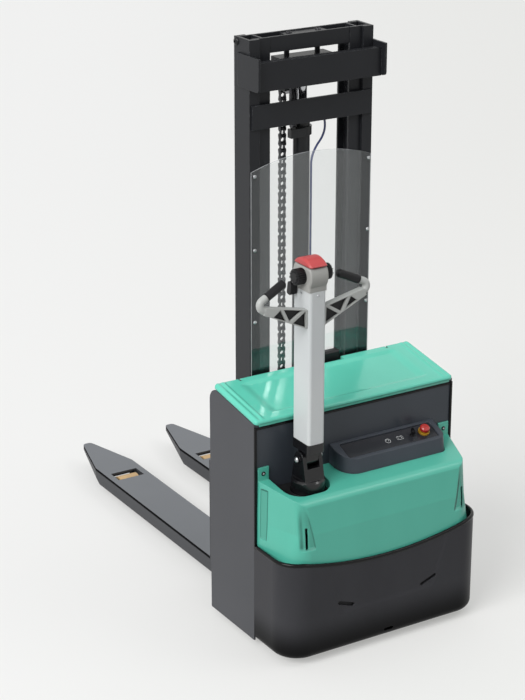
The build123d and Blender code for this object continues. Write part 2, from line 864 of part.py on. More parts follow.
# Tiller socket: the tongue on the pin and the collar under the tube
with BuildPart() as tiller_socket:
    collar_bottom = tube_bottom - socket_height
    with BuildSketch(Plane.YZ.offset(steer_x - cheek_inner + 0.5)) as tongue:
        with Locations((steer_y, tiller_pin_z)):
            Circle(cheek_radius - 1)
        with Locations((steer_y, (tiller_pin_z + collar_bottom) / 2)):
            Rectangle(2 * cheek_radius - 2, collar_bottom - tiller_pin_z)
        with Locations((steer_y, tiller_pin_z)):
            Circle(tiller_pin_radius + pin_gap, mode=Mode.SUBTRACT)
    extrude(tongue.sketch, amount=2 * cheek_inner - 1)
    with BuildSketch(Plane.XY.offset(collar_bottom)) as collar:
        with Locations(tiller_axis):
            RectangleRounded(tube_width + 4, tube_depth + 4, tube_corner + 2)
    extrude(collar.sketch, amount=socket_height)
    with BuildSketch(Plane.XY.offset(tube_bottom)) as spigot:
        with Locations(tiller_axis):
            RectangleRounded(
                tube_width - 2 * tube_wall - 1,
                tube_depth - 2 * tube_wall - 1,
                tube_corner - tube_wall,
            )
    extrude(spigot.sketch, amount=40)
save(tiller_socket, "tiller_socket")

with BuildPart() as tiller_tube:
    with BuildSketch(Plane.XY.offset(tube_bottom)):
        with Locations(tiller_axis):
            RectangleRounded(tube_width, tube_depth, tube_corner)
            RectangleRounded(
                tube_width - 2 * tube_wall,
                tube_depth - 2 * tube_wall,
                tube_corner - tube_wall,
                mode=Mode.SUBTRACT,
            )
    extrude(amount=tube_top - tube_bottom)
save(tiller_tube, "tiller_tube")

# Tiller head: cast housing with bores for the throttle shaft, the rocker shaft and the button stem
throttle_y = steer_y - 9
rocker_y = steer_y + 30
rocker_z = tube_top + 11
button_stem = 8.0
throttle_shaft = 8.0
rocker_shaft = 5.0
with BuildPart() as tiller_head:
    with BuildSketch(Plane.YZ.offset(steer_x - head_width / 2)) as profile:
        with Locations((steer_y, (tube_top + wheel_axis_z) / 2)):
            Rectangle(tube_depth, wheel_axis_z - tube_top)
        with Locations((throttle_y + 4, wheel_axis_z)):
            Circle(tube_depth / 2 + 5)
        with Locations((steer_y, (tube_top + head_top) / 2)):
            Rectangle(tube_depth + 40, head_top - tube_top, mode=Mode.INTERSECT)
    extrude(profile.sketch, amount=head_width)
    sides = tiller_head.faces().filter_by(Axis.X)
    chamfer(sides.edges().filter_by(lambda e: e.center().Z > tube_top + 1), 4)
    round_bar(
        (steer_x - head_width, throttle_y, wheel_axis_z),
        (steer_x + head_width, throttle_y, wheel_axis_z),
        throttle_shaft + pin_gap,
        Mode.SUBTRACT,
    )
    round_bar(
        (steer_x - head_width, rocker_y, rocker_z),
        (steer_x + head_width, rocker_y, rocker_z),
        rocker_shaft + pin_gap,
        Mode.SUBTRACT,
    )
    round_bar(
        (steer_x, steer_y + 26, head_top - 30),
        (steer_x, steer_y + 26, head_top + 1),
        button_stem + pin_gap,
        Mode.SUBTRACT,
    )
save(tiller_head, "tiller_head")

# Emergency reverse button: domed cap over the head, guided by a stem
button_gap = 4.5
with BuildPart() as belly_button:
    cap_bottom = head_top + button_gap
    cap_half = tube_depth / 2 + 2
    with BuildSketch(Plane.YZ.offset(steer_x - head_width / 2 + 0.5)) as dome:
        with BuildLine():
            front = (throttle_y + 4 - cap_half, cap_bottom)
            back = (throttle_y + 4 + cap_half, cap_bottom)
            ThreePointArc(front, (throttle_y, cap_bottom + 22), back)
            Line(back, front)
        make_face()
    extrude(dome.sketch, amount=head_width - 1)
    ends = belly_button.faces().filter_by(Axis.X)
    chamfer(ends.edges().filter_by(GeomType.CIRCLE), 6)
    round_bar((steer_x, steer_y + 26, cap_bottom + 4), (steer_x, steer_y + 26, head_top - 18), button_stem)
save(belly_button, "belly_button")

# Throttle thumb wheels: two drums on one shaft through the head
with BuildPart() as thumb_wheels:
    drum_start = head_width / 2 + 0.6
    round_bar(
        (steer_x - drum_start, throttle_y, wheel_axis_z),
        (steer_x + drum_start, throttle_y, wheel_axis_z),
        throttle_shaft,
    )
    for side in (-1, 1):
        near = steer_x + side * drum_start
        far = near + side * thumb_length
        round_bar((near, throttle_y, wheel_axis_z), (far, throttle_y, wheel_axis_z), thumb_radius)
    rims = thumb_wheels.edges().filter_by(GeomType.CIRCLE)
    chamfer(rims.filter_by(lambda e: abs(e.center().X - steer_x) > drum_start + 1), 5)
save(thumb_wheels, "thumb_wheels")

# Lift and lower rockers: paddles both sides on one shaft through the head
with BuildPart() as lift_rockers:
    paddle_start = head_width / 2 + 0.6
    round_bar(
        (steer_x - paddle_start, rocker_y, rocker_z),
        (steer_x + paddle_start, rocker_y, rocker_z),
        rocker_shaft,
    )
    for side in (-1, 1):
        inner_end = steer_x + min(side * paddle_start, side * (paddle_start + 24))
        with BuildSketch(Plane.YZ.offset(inner_end)) as paddle:
            with Locations((rocker_y, rocker_z)):
                Circle(11)
            with Locations(Location((rocker_y + 2, rocker_z - 14), 8)):
                RectangleRounded(22, 40, 6)
        extrude(paddle.sketch, amount=24)
save(lift_rockers, "lift_rockers")


def handle_arm(side):
    """The cast web of one handle, from the tube to the bend, with three pockets between its ribs."""
    root = tube_width / 2
    low = Vector(root, handle_root_z - handle_root_height / 2)
    high = Vector(root, handle_root_z + handle_root_height / 2)
    tip_low = Vector(handle_reach - 12, handle_corner_z - 27)
    tip_high = Vector(handle_reach - 22, handle_corner_z - 5)

    def lower(t):
        return tuple(low + (tip_low - low) * t)[:2]

    def upper(t):
        return tuple(high + (tip_high - high) * t)[:2]

    web_plane = Plane(origin=(steer_x, handle_y, 0), x_dir=(side, 0, 0), z_dir=(0, -side, 0))
    front = side * handle_thickness / 2
    with BuildPart() as arm:
        with BuildSketch(web_plane.offset(-handle_thickness / 2)) as web:
            with BuildLine():
                Polyline(lower(0), lower(1), upper(1), upper(0), close=True)
            make_face()
        extrude(web.sketch, amount=handle_thickness)
        for corners in (
            (upper(0.04), lower(0.02), lower(0.38)),
            (upper(0.08), upper(0.62), lower(0.42)),
            (lower(0.46), upper(0.66), lower(0.82)),
        ):
            with BuildSketch(web_plane.offset(front)) as pocket:
                with BuildLine():
                    Polyline(*corners, close=True)
                make_face()
                offset(amount=-handle_rib, kind=Kind.INTERSECTION, mode=Mode.REPLACE)
            extrude(pocket.sketch, amount=-side * handle_pocket, mode=Mode.SUBTRACT)
    return arm.part


def handle_path(side):
    """Bend from the end of the web round to the start of the grip."""
    corner = Vector(steer_x + side * (handle_reach + 12), handle_y, handle_corner_z + 4)
    start = Vector(steer_x + side * (handle_reach - 34), handle_y, handle_corner_z - 27)
    run = Vector(-side * grip_run[0], grip_run[1], grip_run[2])
    return start, corner, corner + run * grip_start, corner + run


grip_start = 0.36
bend_radius = 16.0
bend_steps = 6
rod_section = 12.5
with BuildPart() as tiller_handles:
    for side in (-1, 1):
        add(handle_arm(side))
        start, corner, neck, end = handle_path(side)
        with BuildLine() as bend:
            FilletPolyline(start, corner, neck, radius=bend_radius)
        turn = bend.edges().filter_by(GeomType.CIRCLE)[0]
        with BuildLine() as chords:
            Polyline(start, *[turn @ (step / bend_steps) for step in range(bend_steps + 1)], neck)
        with BuildSketch(Plane(origin=start, z_dir=chords.line % 0)) as rod:
            Circle(rod_section)
        sweep(rod.sketch, path=chords.line, transition=Transition.RIGHT)
save(tiller_handles, "tiller_handles")

with BuildPart() as tiller_grips:
    for side in (-1, 1):
        start, corner, neck, end = handle_path(side)
        round_bar(tuple(neck), tuple(end), grip_radius)
        chamfer(tiller_grips.edges().filter_by(GeomType.CIRCLE).sort_by_distance(end)[0], 6)
save(tiller_grips, "tiller_grips")

# Caster: crown with a stem through the bridge, two cheeks and an axle
caster_axis_y = caster_y + caster_trail
with BuildPart() as caster_fork:
    crown_bottom = 2 * caster_radius + 10
    head_bottom = bridge_height - 14
    round_bar((caster_x, caster_y, head_bottom), (caster_x, caster_y, bridge_height - roller_gap), 48)
    head_top_z = bridge_height - roller_gap
    round_bar((caster_x, caster_y, head_top_z), (caster_x, caster_y, bridge_top - 1), caster_stem)
    round_bar((caster_x, caster_y, crown_bottom), (caster_x, caster_y, head_bottom), 30)
    cheek_gap = caster_wheel_width / 2 + 2
    for side in (-1, 1):
        cheek_plane = Plane.YZ.offset(caster_x + min(side * cheek_gap, side * (cheek_gap + 8)))
        with BuildSketch(cheek_plane) as fork_cheek:
            with BuildLine():
                Polyline(
                    (caster_y - 34, crown_bottom + 14),
                    (caster_y + 44, crown_bottom + 14),
                    (caster_axis_y + 22, caster_radius),
                    (caster_axis_y - 22, caster_radius),
                    close=True,
                )
            make_face()
            with Locations((caster_axis_y, caster_radius)):
                Circle(22)
        extrude(fork_cheek.sketch, amount=8)
    block(
        (caster_x - cheek_gap - 8, caster_y - 34, crown_bottom),
        (caster_x + cheek_gap + 8, caster_y + 44, crown_bottom + 14),
    )
    round_bar(
        (caster_x - cheek_gap - 8, caster_axis_y, caster_radius),
        (caster_x + cheek_gap + 8, caster_axis_y, caster_radius),
        caster_axle,
    )
save(caster_fork, "caster_fork")

with BuildPart() as caster_wheel:
    with BuildSketch(Plane.YZ.offset(caster_x - caster_wheel_width / 2)):
        with Locations((caster_axis_y, caster_radius)):
            Circle(caster_radius)
            Circle(caster_axle + pin_gap, mode=Mode.SUBTRACT)
    extrude(amount=caster_wheel_width)
save(caster_wheel, "caster_wheel")


def roller_pair(y, z, radius, near, far):
    """A left and a right mast roller, bored for their pins."""
    with BuildPart() as pair:
        for side in (-1, 1):
            with BuildSketch(Plane.YZ.offset(min(side * near, side * far))) as disc:
                with Locations((y, z)):
                    Circle(radius)
                    Circle(roller_pin + pin_gap, mode=Mode.SUBTRACT)
            extrude(disc.sketch, amount=far - near)
    return pair


# Outer mast: two channels that open inwards, with the pins of the upper rollers
for side, name in ((-1, "outer_channel_left"), (1, "outer_channel_right")):
    with BuildPart() as outer_channel:
        with BuildSketch(Plane.XY.offset(outer_bottom)):
            with BuildLine():
                web_out = side * mast_width / 2
                web_in = side * outer_inner_x
                lip = side * (outer_inner_x - outer_flange_width + outer_web)
                Polyline(
                    (web_out, mast_front),
                    (web_out, mast_back),
                    (lip, mast_back),
                    (lip, mast_back - outer_flange),
                    (web_in, mast_back - outer_flange),
                    (web_in, mast_front + outer_flange),
                    (lip, mast_front + outer_flange),
                    (lip, mast_front),
                    close=True,
                )
            make_face()
        extrude(amount=mast_top - outer_bottom)
        pin_end = side * (inner_web_x + inner_web + 2)
        round_bar((web_in, mast_mid, upper_roller_z), (pin_end, mast_mid, upper_roller_z), roller_pin)
    save(outer_channel, name)

# Inner mast: two flanged beams nested in the outer channels, with the pins of the lower rollers
for side, name in ((-1, "inner_channel_left"), (1, "inner_channel_right")):
    with BuildPart() as inner_channel:
        with BuildSketch(Plane.XY.offset(inner_bottom)):
            with BuildLine():
                near = side * inner_edge_x
                web_near = side * inner_web_x
                web_far = side * (inner_web_x + inner_web)
                far = side * inner_outer_edge_x
                Polyline(
                    (near, inner_front),
                    (far, inner_front),
                    (far, inner_front + inner_flange),
                    (web_far, inner_front + inner_flange),
                    (web_far, inner_back - inner_flange),
                    (far, inner_back - inner_flange),
                    (far, inner_back),
                    (near, inner_back),
                    (near, inner_back - inner_flange),
                    (web_near, inner_back - inner_flange),
                    (web_near, inner_front + inner_flange),
                    (near, inner_front + inner_flange),
                    close=True,
                )
            make_face()
        extrude(amount=mast_top - inner_bottom)
        x0, x1 = sorted((web_far, side * (inner_outer_edge_x + 1)))
        notch_top = lower_roller_z + large_roller + 5
        block((x0, inner_front - 1, inner_bottom - 1), (x1, inner_back + 1, notch_top), Mode.SUBTRACT)
        pin_end = side * (inner_outer_edge_x + 1)
        round_bar((web_far, mast_mid, lower_roller_z), (pin_end, mast_mid, lower_roller_z), roller_pin)
    save(inner_channel, name)

roller_start = inner_web_x + inner_web + 3
save(
    roller_pair(mast_mid, upper_roller_z, small_roller, roller_start, roller_start + 33),
    "outer_mast_rollers",
)
save(
    roller_pair(mast_mid, lower_roller_z, large_roller, roller_start, roller_start + 36),
    "inner_mast_rollers",
)
carriage_roller_x = (inner_edge_x + 2, inner_web_x - 2)
save(
    roller_pair(mast_mid, carriage_lower_roller_z, small_roller, *carriage_roller_x),
    "carriage_rollers_lower",
)
save(
    roller_pair(mast_mid, carriage_upper_roller_z, small_roller, *carriage_roller_x),
    "carriage_rollers_upper",
)

# Mast top tie: rounded ears on the channels and a folded plate between them
with BuildPart() as mast_top_tie:
    ear_front = mast_front - ear_reach
    for side in (-1, 1):
        x = side * mast_width / 2
        with BuildSketch(Plane.YZ.offset(min(x, x + side * ear_thickness))) as ear:
            with Locations(((ear_front + mast_mid + 15) / 2, (2 * ear_top - ear_height) / 2)):
                Rectangle(mast_mid + 15 - ear_front, ear_height)
            fillet(ear.vertices().group_by(Axis.Y)[0], ear_corner)
        extrude(ear.sketch, amount=ear_thickness)
    plate_front = ear_front + top_tie_inset
    block(
        (-mast_width / 2, plate_front, top_tie_top - top_tie_height),
        (mast_width / 2, plate_front + tie_thickness, top_tie_top),
    )
    block(
        (-mast_width / 2, plate_front, top_tie_top - tie_thickness),
        (mast_width / 2, plate_front + tie_lip, top_tie_top),
    )
save(mast_top_tie, "mast_top_tie")

# Flat tie plate across the front of the outer channels
with BuildPart() as mast_tie_plate:
    block(
        (second_tie_inset - mast_width / 2, mast_front - tie_thickness, second_tie_bottom),
        (mast_width / 2 - second_tie_inset, mast_front, second_tie_top),
    )
save(mast_tie_plate, "mast_tie_plate")

# Foot plate that carries the channels and the lift cylinder
with BuildPart() as mast_foot:
    block((-mast_width / 2, mast_front, leg_top), (mast_width / 2, mast_back, outer_bottom))
save(mast_foot, "mast_foot")

# Clear shield in front of the mast, with an arched top edge
with BuildPart() as shield:
    with BuildSketch(Plane.XZ.offset(-mast_front)):
        with BuildLine():
            shield_corner = second_tie_bottom - shield_top_gap - shield_arch
            left = (shield_inset - mast_width / 2, shield_corner)
            right = (mast_width / 2 - shield_inset, shield_corner)
            ThreePointArc(left, (0, shield_corner + shield_arch), right)
            Polyline(right, (right[0], shield_bottom), (left[0], shield_bottom), left)
        make_face()
    extrude(amount=shield_thickness)
save(shield, "shield")

# Lift cylinder: barrel with a gland, a chain anchor clamped round it and a port for the leak-off tube
with BuildPart() as cylinder_barrel:
    round_bar((0, cylinder_y, outer_bottom), (0, cylinder_y, barrel_top), barrel_radius)
    round_bar((0, cylinder_y, barrel_top), (0, cylinder_y, barrel_top + gland_length), gland_radius)
    anchor_top = chain_wheel_z - front_anchor_drop
    round_bar((0, cylinder_y, anchor_top - 30), (0, cylinder_y, anchor_top), barrel_radius + 6)
    tongue_half = chain_inner_width / 2 - 0.5
    front_end = chain_wheel_z - front_links * chain_pitch
    block((chain_x - 12, front_strand_y - 10, anchor_top - 30), (-10, front_strand_y + 14, anchor_top))
    block(
        (chain_x - tongue_half, front_strand_y - 8, anchor_top),
        (chain_x + tongue_half, front_strand_y + 8, front_end - chain_pin / 2),
    )
    port = (barrel_radius + 1.5, cylinder_y - 25)
    port_top = 330.0
    block((port[0] - 14, port[1] - 7, port_top - 34), (port[0] + 7, port[1] + 12, port_top))
    round_bar(
        (0, cylinder_y, outer_bottom + 12),
        (0, cylinder_y, barrel_top - 14),
        barrel_bore,
        Mode.SUBTRACT,
    )
    round_bar(
        (0, cylinder_y, barrel_top - 20),
        (0, cylinder_y, barrel_top + gland_length + 1),
        rod_radius + piston_gap,
        Mode.SUBTRACT,
    )
save(cylinder_barrel, "cylinder_barrel")

# Leak-off tube from the gland down to the port near the foot
with BuildPart() as leak_off_tube:
    with BuildLine() as route:
        FilletPolyline(
            (gland_radius + roller_gap, cylinder_y, barrel_top + 9),
            (88, 345, barrel_top + 6),
            (80, 338, barrel_top - 82),
            (port[0], port[1], barrel_top - 182),
            (port[0], port[1], port_top),
            radius=(20, 30, 60),
        )
    with BuildSketch(Plane(origin=route.line @ 0, z_dir=route.line % 0)) as tube_section:
        Circle(tube_radius)
    sweep(tube_section.sketch, path=route.line)
save(leak_off_tube, "leak_off_tube")

# Piston rod with its piston, and the head that carries the chain wheel
with BuildPart() as piston_rod:
    round_bar((0, cylinder_y, rod_bottom), (0, cylinder_y, rod_bottom + 36), barrel_bore - piston_gap)
    round_bar((0, cylinder_y, rod_bottom + 36), (0, cylinder_y, rod_top), rod_radius)
save(piston_rod, "piston_rod")

beam_bottom = mast_top - top_beam_height
mid_plate_bottom = mast_top - 16
clevis_gap = chain_half_width + 4
with BuildPart() as rod_head:
    head_plate_top = rod_top + rod_head_thickness
    block(
        (-rod_head_width / 2, cylinder_y - 30, rod_top),
        (rod_head_width / 2, cylinder_y + 30, head_plate_top),
    )
    for side in (-1, 1):
        x = side * stud_spacing / 2
        round_bar((x, cylinder_y, head_plate_top), (x, cylinder_y, mid_plate_bottom), stud_radius)
        x0, x1 = sorted((chain_x + side * clevis_gap, chain_x + side * (clevis_gap + 5)))
        block((x0, cylinder_y - 15, chain_wheel_z - 15), (x1, cylinder_y + 15, rod_top))
    round_bar(
        (chain_x - clevis_gap - 5, cylinder_y, chain_wheel_z),
        (chain_x + clevis_gap + 5, cylinder_y, chain_wheel_z),
        chain_axle_radius,
    )
save(rod_head, "rod_head")

# Ties of the inner mast: the top beam over the rod head and the lower cross tie
with BuildPart() as inner_ties:
    beam_x = inner_edge_x
    block((-beam_x, inner_front + 2, beam_bottom), (beam_x, inner_front + 10, mast_top))
    block((-beam_x, inner_back - 8, beam_bottom), (beam_x, inner_back, mast_top))
    block((-80, inner_front + 10, mid_plate_bottom), (80, inner_back - 8, mid_plate_bottom + 12))
    tie_half = inner_web_x + inner_web
    block((-tie_half, inner_front - 10, inner_bottom + 10), (tie_half, inner_front, inner_bottom + 90))
save(inner_ties, "inner_ties")

# Chain wheel: eight-sided sprocket body with a hub, bored for the axle
with BuildPart() as chain_wheel:
    seat = chain_wheel_radius - chain_pin / 2 - 3
    hub_half = clevis_gap - 0.5
    for half, apothem in ((tongue_half, seat), (hub_half, seat - 8)):
        with BuildSketch(Plane.YZ.offset(chain_x - half)) as octagon:
            with Locations((cylinder_y, chain_wheel_z)):
                RegularPolygon(apothem, 2 * chain_wheel_links, major_radius=False)
        extrude(octagon.sketch, amount=2 * half)
    round_bar(
        (chain_x - hub_half - 1, cylinder_y, chain_wheel_z),
        (chain_x + hub_half + 1, cylinder_y, chain_wheel_z),
        chain_axle_radius + pin_gap,
        Mode.SUBTRACT,
    )
save(chain_wheel, "chain_wheel")


def chain_links(joints, first_layer, pins):
    """Chain through the given (y, z) joints: side plates in two layers, with pins at the joints named."""
    layers = (chain_inner_width / 2, chain_inner_width / 2 + chain_plate_thickness)
    with BuildPart() as run:
        for turn, near in enumerate((layers[first_layer], layers[1 - first_layer])):
            middles = []
            for a, b in list(zip(joints, joints[1:]))[turn::2]:
                angle = math.degrees(math.atan2(b[1] - a[1], b[0] - a[0]))
                middles.append(Location(((a[0] + b[0]) / 2, (a[1] + b[1]) / 2), angle))
            for x in (chain_x + near, chain_x - near - chain_plate_thickness):
                with BuildSketch(Plane.YZ.offset(x)) as plates:
                    with Locations(*middles):
                        Rectangle(chain_plate_length, chain_plate_height)
                extrude(plates.sketch, amount=chain_plate_thickness)
        for half, places in pins:
            with BuildSketch(Plane.YZ.offset(chain_x - half)) as bars:
                with Locations(*places):
                    Rectangle(chain_pin, chain_pin)
            extrude(bars.sketch, amount=2 * half)
    return run


def strand(y, count):
    """Joints of a straight run that hangs from the wheel's height."""
    return [(y, chain_wheel_z - step * chain_pitch) for step in range(count + 1)]


def pins_at(joints, angles=None):
    angles = angles or [0] * len(joints)
    return [Location(joint, angle) for joint, angle in zip(joints, angles)]


# Lift chain: a run from the anchor up to the wheel, the turn over the wheel and a run down to the carriage
front_joints = strand(front_strand_y, front_links)
rear_joints = strand(rear_strand_y, rear_links)
wheel_angles = [180 - 180 * step / chain_wheel_links for step in range(chain_wheel_links + 1)]
wheel_joints = [
    (
        cylinder_y + chain_wheel_radius * math.cos(math.radians(angle)),
        chain_wheel_z + chain_wheel_radius * math.sin(math.radians(angle)),
    )
    for angle in wheel_angles
]
short_pin = chain_inner_width / 2 + chain_plate_thickness
long_pin = chain_half_width
save(chain_links(front_joints, 1, [(long_pin, pins_at(front_joints[1:]))]), "chain_front_strand")
save(
    chain_links(
        wheel_joints,
        0,
        [
            (short_pin, pins_at(wheel_joints[:1])),
            (long_pin, pins_at(wheel_joints[1:-1], wheel_angles[1:-1])),
        ],
    ),
    "chain_over_wheel",
)
save(
    chain_links(
        rear_joints,
        0,
        [
            (short_pin, pins_at([rear_joints[0], rear_joints[-1]])),
            (long_pin, pins_at(rear_joints[1:-1])),
        ],
    ),
    "chain_rear_strand",
)

# Support legs: channels under the forks, with cheeks and an axle for the load rollers
for side, name in ((-1, "support_leg_left"), (1, "support_leg_right")):
    with BuildPart() as support_leg:
        x = side * fork_centre
        leg_end = load_roller_y + load_roller_radius + 24
        roller_space = load_roller_width + 4
        block((x - leg_width / 2, mast_front, leg_bottom), (x + leg_width / 2, leg_end, leg_top))
        block(
            (x - leg_width / 2 + leg_wall, mast_front + 20, leg_bottom - 1),
            (x + leg_width / 2 - leg_wall, load_roller_y - load_roller_radius - 12, leg_top - leg_wall),
            Mode.SUBTRACT,
        )
        block(
            (x - roller_space / 2, load_roller_y - load_roller_radius - 6, leg_bottom - 1),
            (x + roller_space / 2, leg_end + 1, leg_top + 1),
            Mode.SUBTRACT,
        )
        round_bar(
            (x - leg_width / 2 + 2, load_roller_y, load_roller_radius),
            (x + leg_width / 2 - 2, load_roller_y, load_roller_radius),
            load_axle_radius,
        )
    save(support_leg, name)

for side, name in ((-1, "load_roller_left"), (1, "load_roller_right")):
    with BuildPart() as load_roller:
        with BuildSketch(Plane.YZ.offset(side * fork_centre - load_roller_width / 2)):
            with Locations((load_roller_y, load_roller_radius)):
                Circle(load_roller_radius)
                Circle(load_axle_radius + pin_gap, mode=Mode.SUBTRACT)
        extrude(amount=load_roller_width)
    save(load_roller, name)

# Forks: pressed channels over the legs with tapered tips, roller windows and upright shanks
for side, name in ((-1, "fork_left"), (1, "fork_right")):
    with BuildPart() as fork:
        x = side * fork_centre
        half = fork_width / 2
        taper_start = fork_tip - fork_taper
        with BuildSketch(Plane.XY.offset(fork_skirt_bottom)) as plan:
            with BuildLine():
                Polyline(
                    (x - half, fork_heel),
                    (x - half, taper_start),
                    (x - fork_tip_width / 2, fork_tip),
                    (x + fork_tip_width / 2, fork_tip),
                    (x + half, taper_start),
                    (x + half, fork_heel),
                    close=True,
                )
            make_face()
            fillet(plan.vertices().group_by(Axis.Y)[-1], fork_tip_width / 2 - 1)
        extrude(plan.sketch, amount=fork_top - fork_skirt_bottom)
        block(
            (x - half + fork_skirt, fork_heel - 1, fork_skirt_bottom - 1),
            (x + half - fork_skirt, taper_start - 12, fork_top - fork_plate),
            Mode.SUBTRACT,
        )
        nose_start = taper_start - fork_nose_lead
        prism(
            [
                (nose_start, fork_skirt_bottom - 1),
                (nose_start, fork_skirt_bottom),
                (taper_start, fork_skirt_bottom + fork_nose_rise),
                (fork_tip + 1, fork_top - fork_tip_thickness),
                (fork_tip + 1, fork_skirt_bottom - 1),
            ],
            Plane.YZ.offset(x - half),
            fork_width,
            Mode.SUBTRACT,
        )
        block(
            (x - roller_window[0] / 2, load_roller_y - roller_window[1] / 2, fork_top - 20),
            (x + roller_window[0] / 2, load_roller_y + roller_window[1] / 2, fork_top + 1),
            Mode.SUBTRACT,
        )
        block(
            (x - half, fork_heel, fork_top - fork_plate),
            (x + half, fork_heel + fork_shank, fork_shank_top),
        )
    save(fork, name)

# Carriage: side plates with roller pins, a cross plate for the forks and the chain bracket
with BuildPart() as carriage_frame:
    cross_front = fork_heel - 16
    cross_half = fork_spread / 2 - 22
    for side in (-1, 1):
        x0, x1 = sorted((side * carriage_side_x, side * (carriage_side_x - carriage_plate)))
        block((x0, mast_mid - 21, carriage_bottom), (x1, cross_front, carriage_top))
        for z in (carriage_lower_roller_z, carriage_upper_roller_z):
            round_bar(
                (side * carriage_side_x, mast_mid, z),
                (side * (carriage_roller_x[1] - 1), mast_mid, z),
                roller_pin,
            )
    block((-cross_half, cross_front, carriage_bottom), (cross_half, fork_heel, fork_shank_top))
    rear_end = chain_wheel_z - rear_links * chain_pitch
    bracket_top = rear_end - chain_pin / 2 - 17
    block((chain_x - 20, rear_strand_y - 11, bracket_top - 20), (chain_x + 20, cross_front, bracket_top))
    block(
        (chain_x - tongue_half, rear_strand_y - 8, bracket_top),
        (chain_x + tongue_half, rear_strand_y + 8, rear_end - chain_pin / 2),
    )
save(carriage_frame, "carriage_frame")
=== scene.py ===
from math import copysign, cos, hypot, pi, radians, sin, sqrt

import bmesh
import bpy
from mathutils import Matrix, Vector


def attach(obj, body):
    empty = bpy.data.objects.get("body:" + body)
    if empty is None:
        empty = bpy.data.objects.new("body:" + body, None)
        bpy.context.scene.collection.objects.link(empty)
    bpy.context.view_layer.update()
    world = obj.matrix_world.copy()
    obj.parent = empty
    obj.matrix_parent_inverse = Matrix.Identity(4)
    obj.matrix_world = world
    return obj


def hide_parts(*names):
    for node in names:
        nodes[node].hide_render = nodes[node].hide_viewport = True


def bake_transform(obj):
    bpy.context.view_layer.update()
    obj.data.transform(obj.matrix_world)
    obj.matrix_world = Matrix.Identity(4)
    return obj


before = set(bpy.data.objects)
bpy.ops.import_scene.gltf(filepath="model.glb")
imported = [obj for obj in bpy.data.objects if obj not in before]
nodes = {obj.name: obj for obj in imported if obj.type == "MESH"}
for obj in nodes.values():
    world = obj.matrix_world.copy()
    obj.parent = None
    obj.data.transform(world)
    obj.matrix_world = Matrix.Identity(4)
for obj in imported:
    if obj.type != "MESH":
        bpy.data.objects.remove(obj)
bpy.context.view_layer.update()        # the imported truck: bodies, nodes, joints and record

mm = 0.001
micron = 0.000001
print("frame loaded:", len(nodes), "nodes")


def tone(red, green, blue):  # a screen colour, up to 255, as the shaders take it
    def plain(value):
        value /= 255
        return value / 12.92 if value <= 0.04045 else ((value + 0.055) / 1.055) ** 2.4

    return (plain(red), plain(green), plain(blue), 1)


class Socket:  # a node's output that can stand in a sum
    def __init__(self, graph, out):
        self.graph, self.out = graph, out

    def sum(self, operation, other=0, turned=False):
        pair = (other, self) if turned else (self, other)
        return self.graph.node("ShaderNodeMath", {"operation": operation}, {0: pair[0], 1: pair[1]})

    def __add__(self, other):
        return self.sum("ADD", other)

    def __radd__(self, other):
        return self.sum("ADD", other, True)

    def __sub__(self, other):
        return self.sum("SUBTRACT", other)

    def __rsub__(self, other):
        return self.sum("SUBTRACT", other, True)

    def __mul__(self, other):
        return self.sum("MULTIPLY", other)

    def __rmul__(self, other):
        return self.sum("MULTIPLY", other, True)

    def beside(self, name):  # another output of the same node
        return Socket(self.graph, self.out.node.outputs[name])


class Graph:  # a shader tree or a geometry tree
    def __init__(self, tree, family="ShaderNode"):
        self.tree, self.family = tree, family

    def node(self, kind, settings=None, sockets=None, output=0):  # a short kind is of the tree's own family
        made = self.tree.nodes.new(kind if "Node" in kind else self.family + kind)
        for name, value in (settings or {}).items():
            setattr(made, name, value)
        for name, value in (sockets or {}).items():
            if isinstance(value, Socket):
                self.tree.links.new(value.out, made.inputs[name])
            else:
                made.inputs[name].default_value = value
        return Socket(self, made.outputs[output]) if made.outputs else None


# Materials

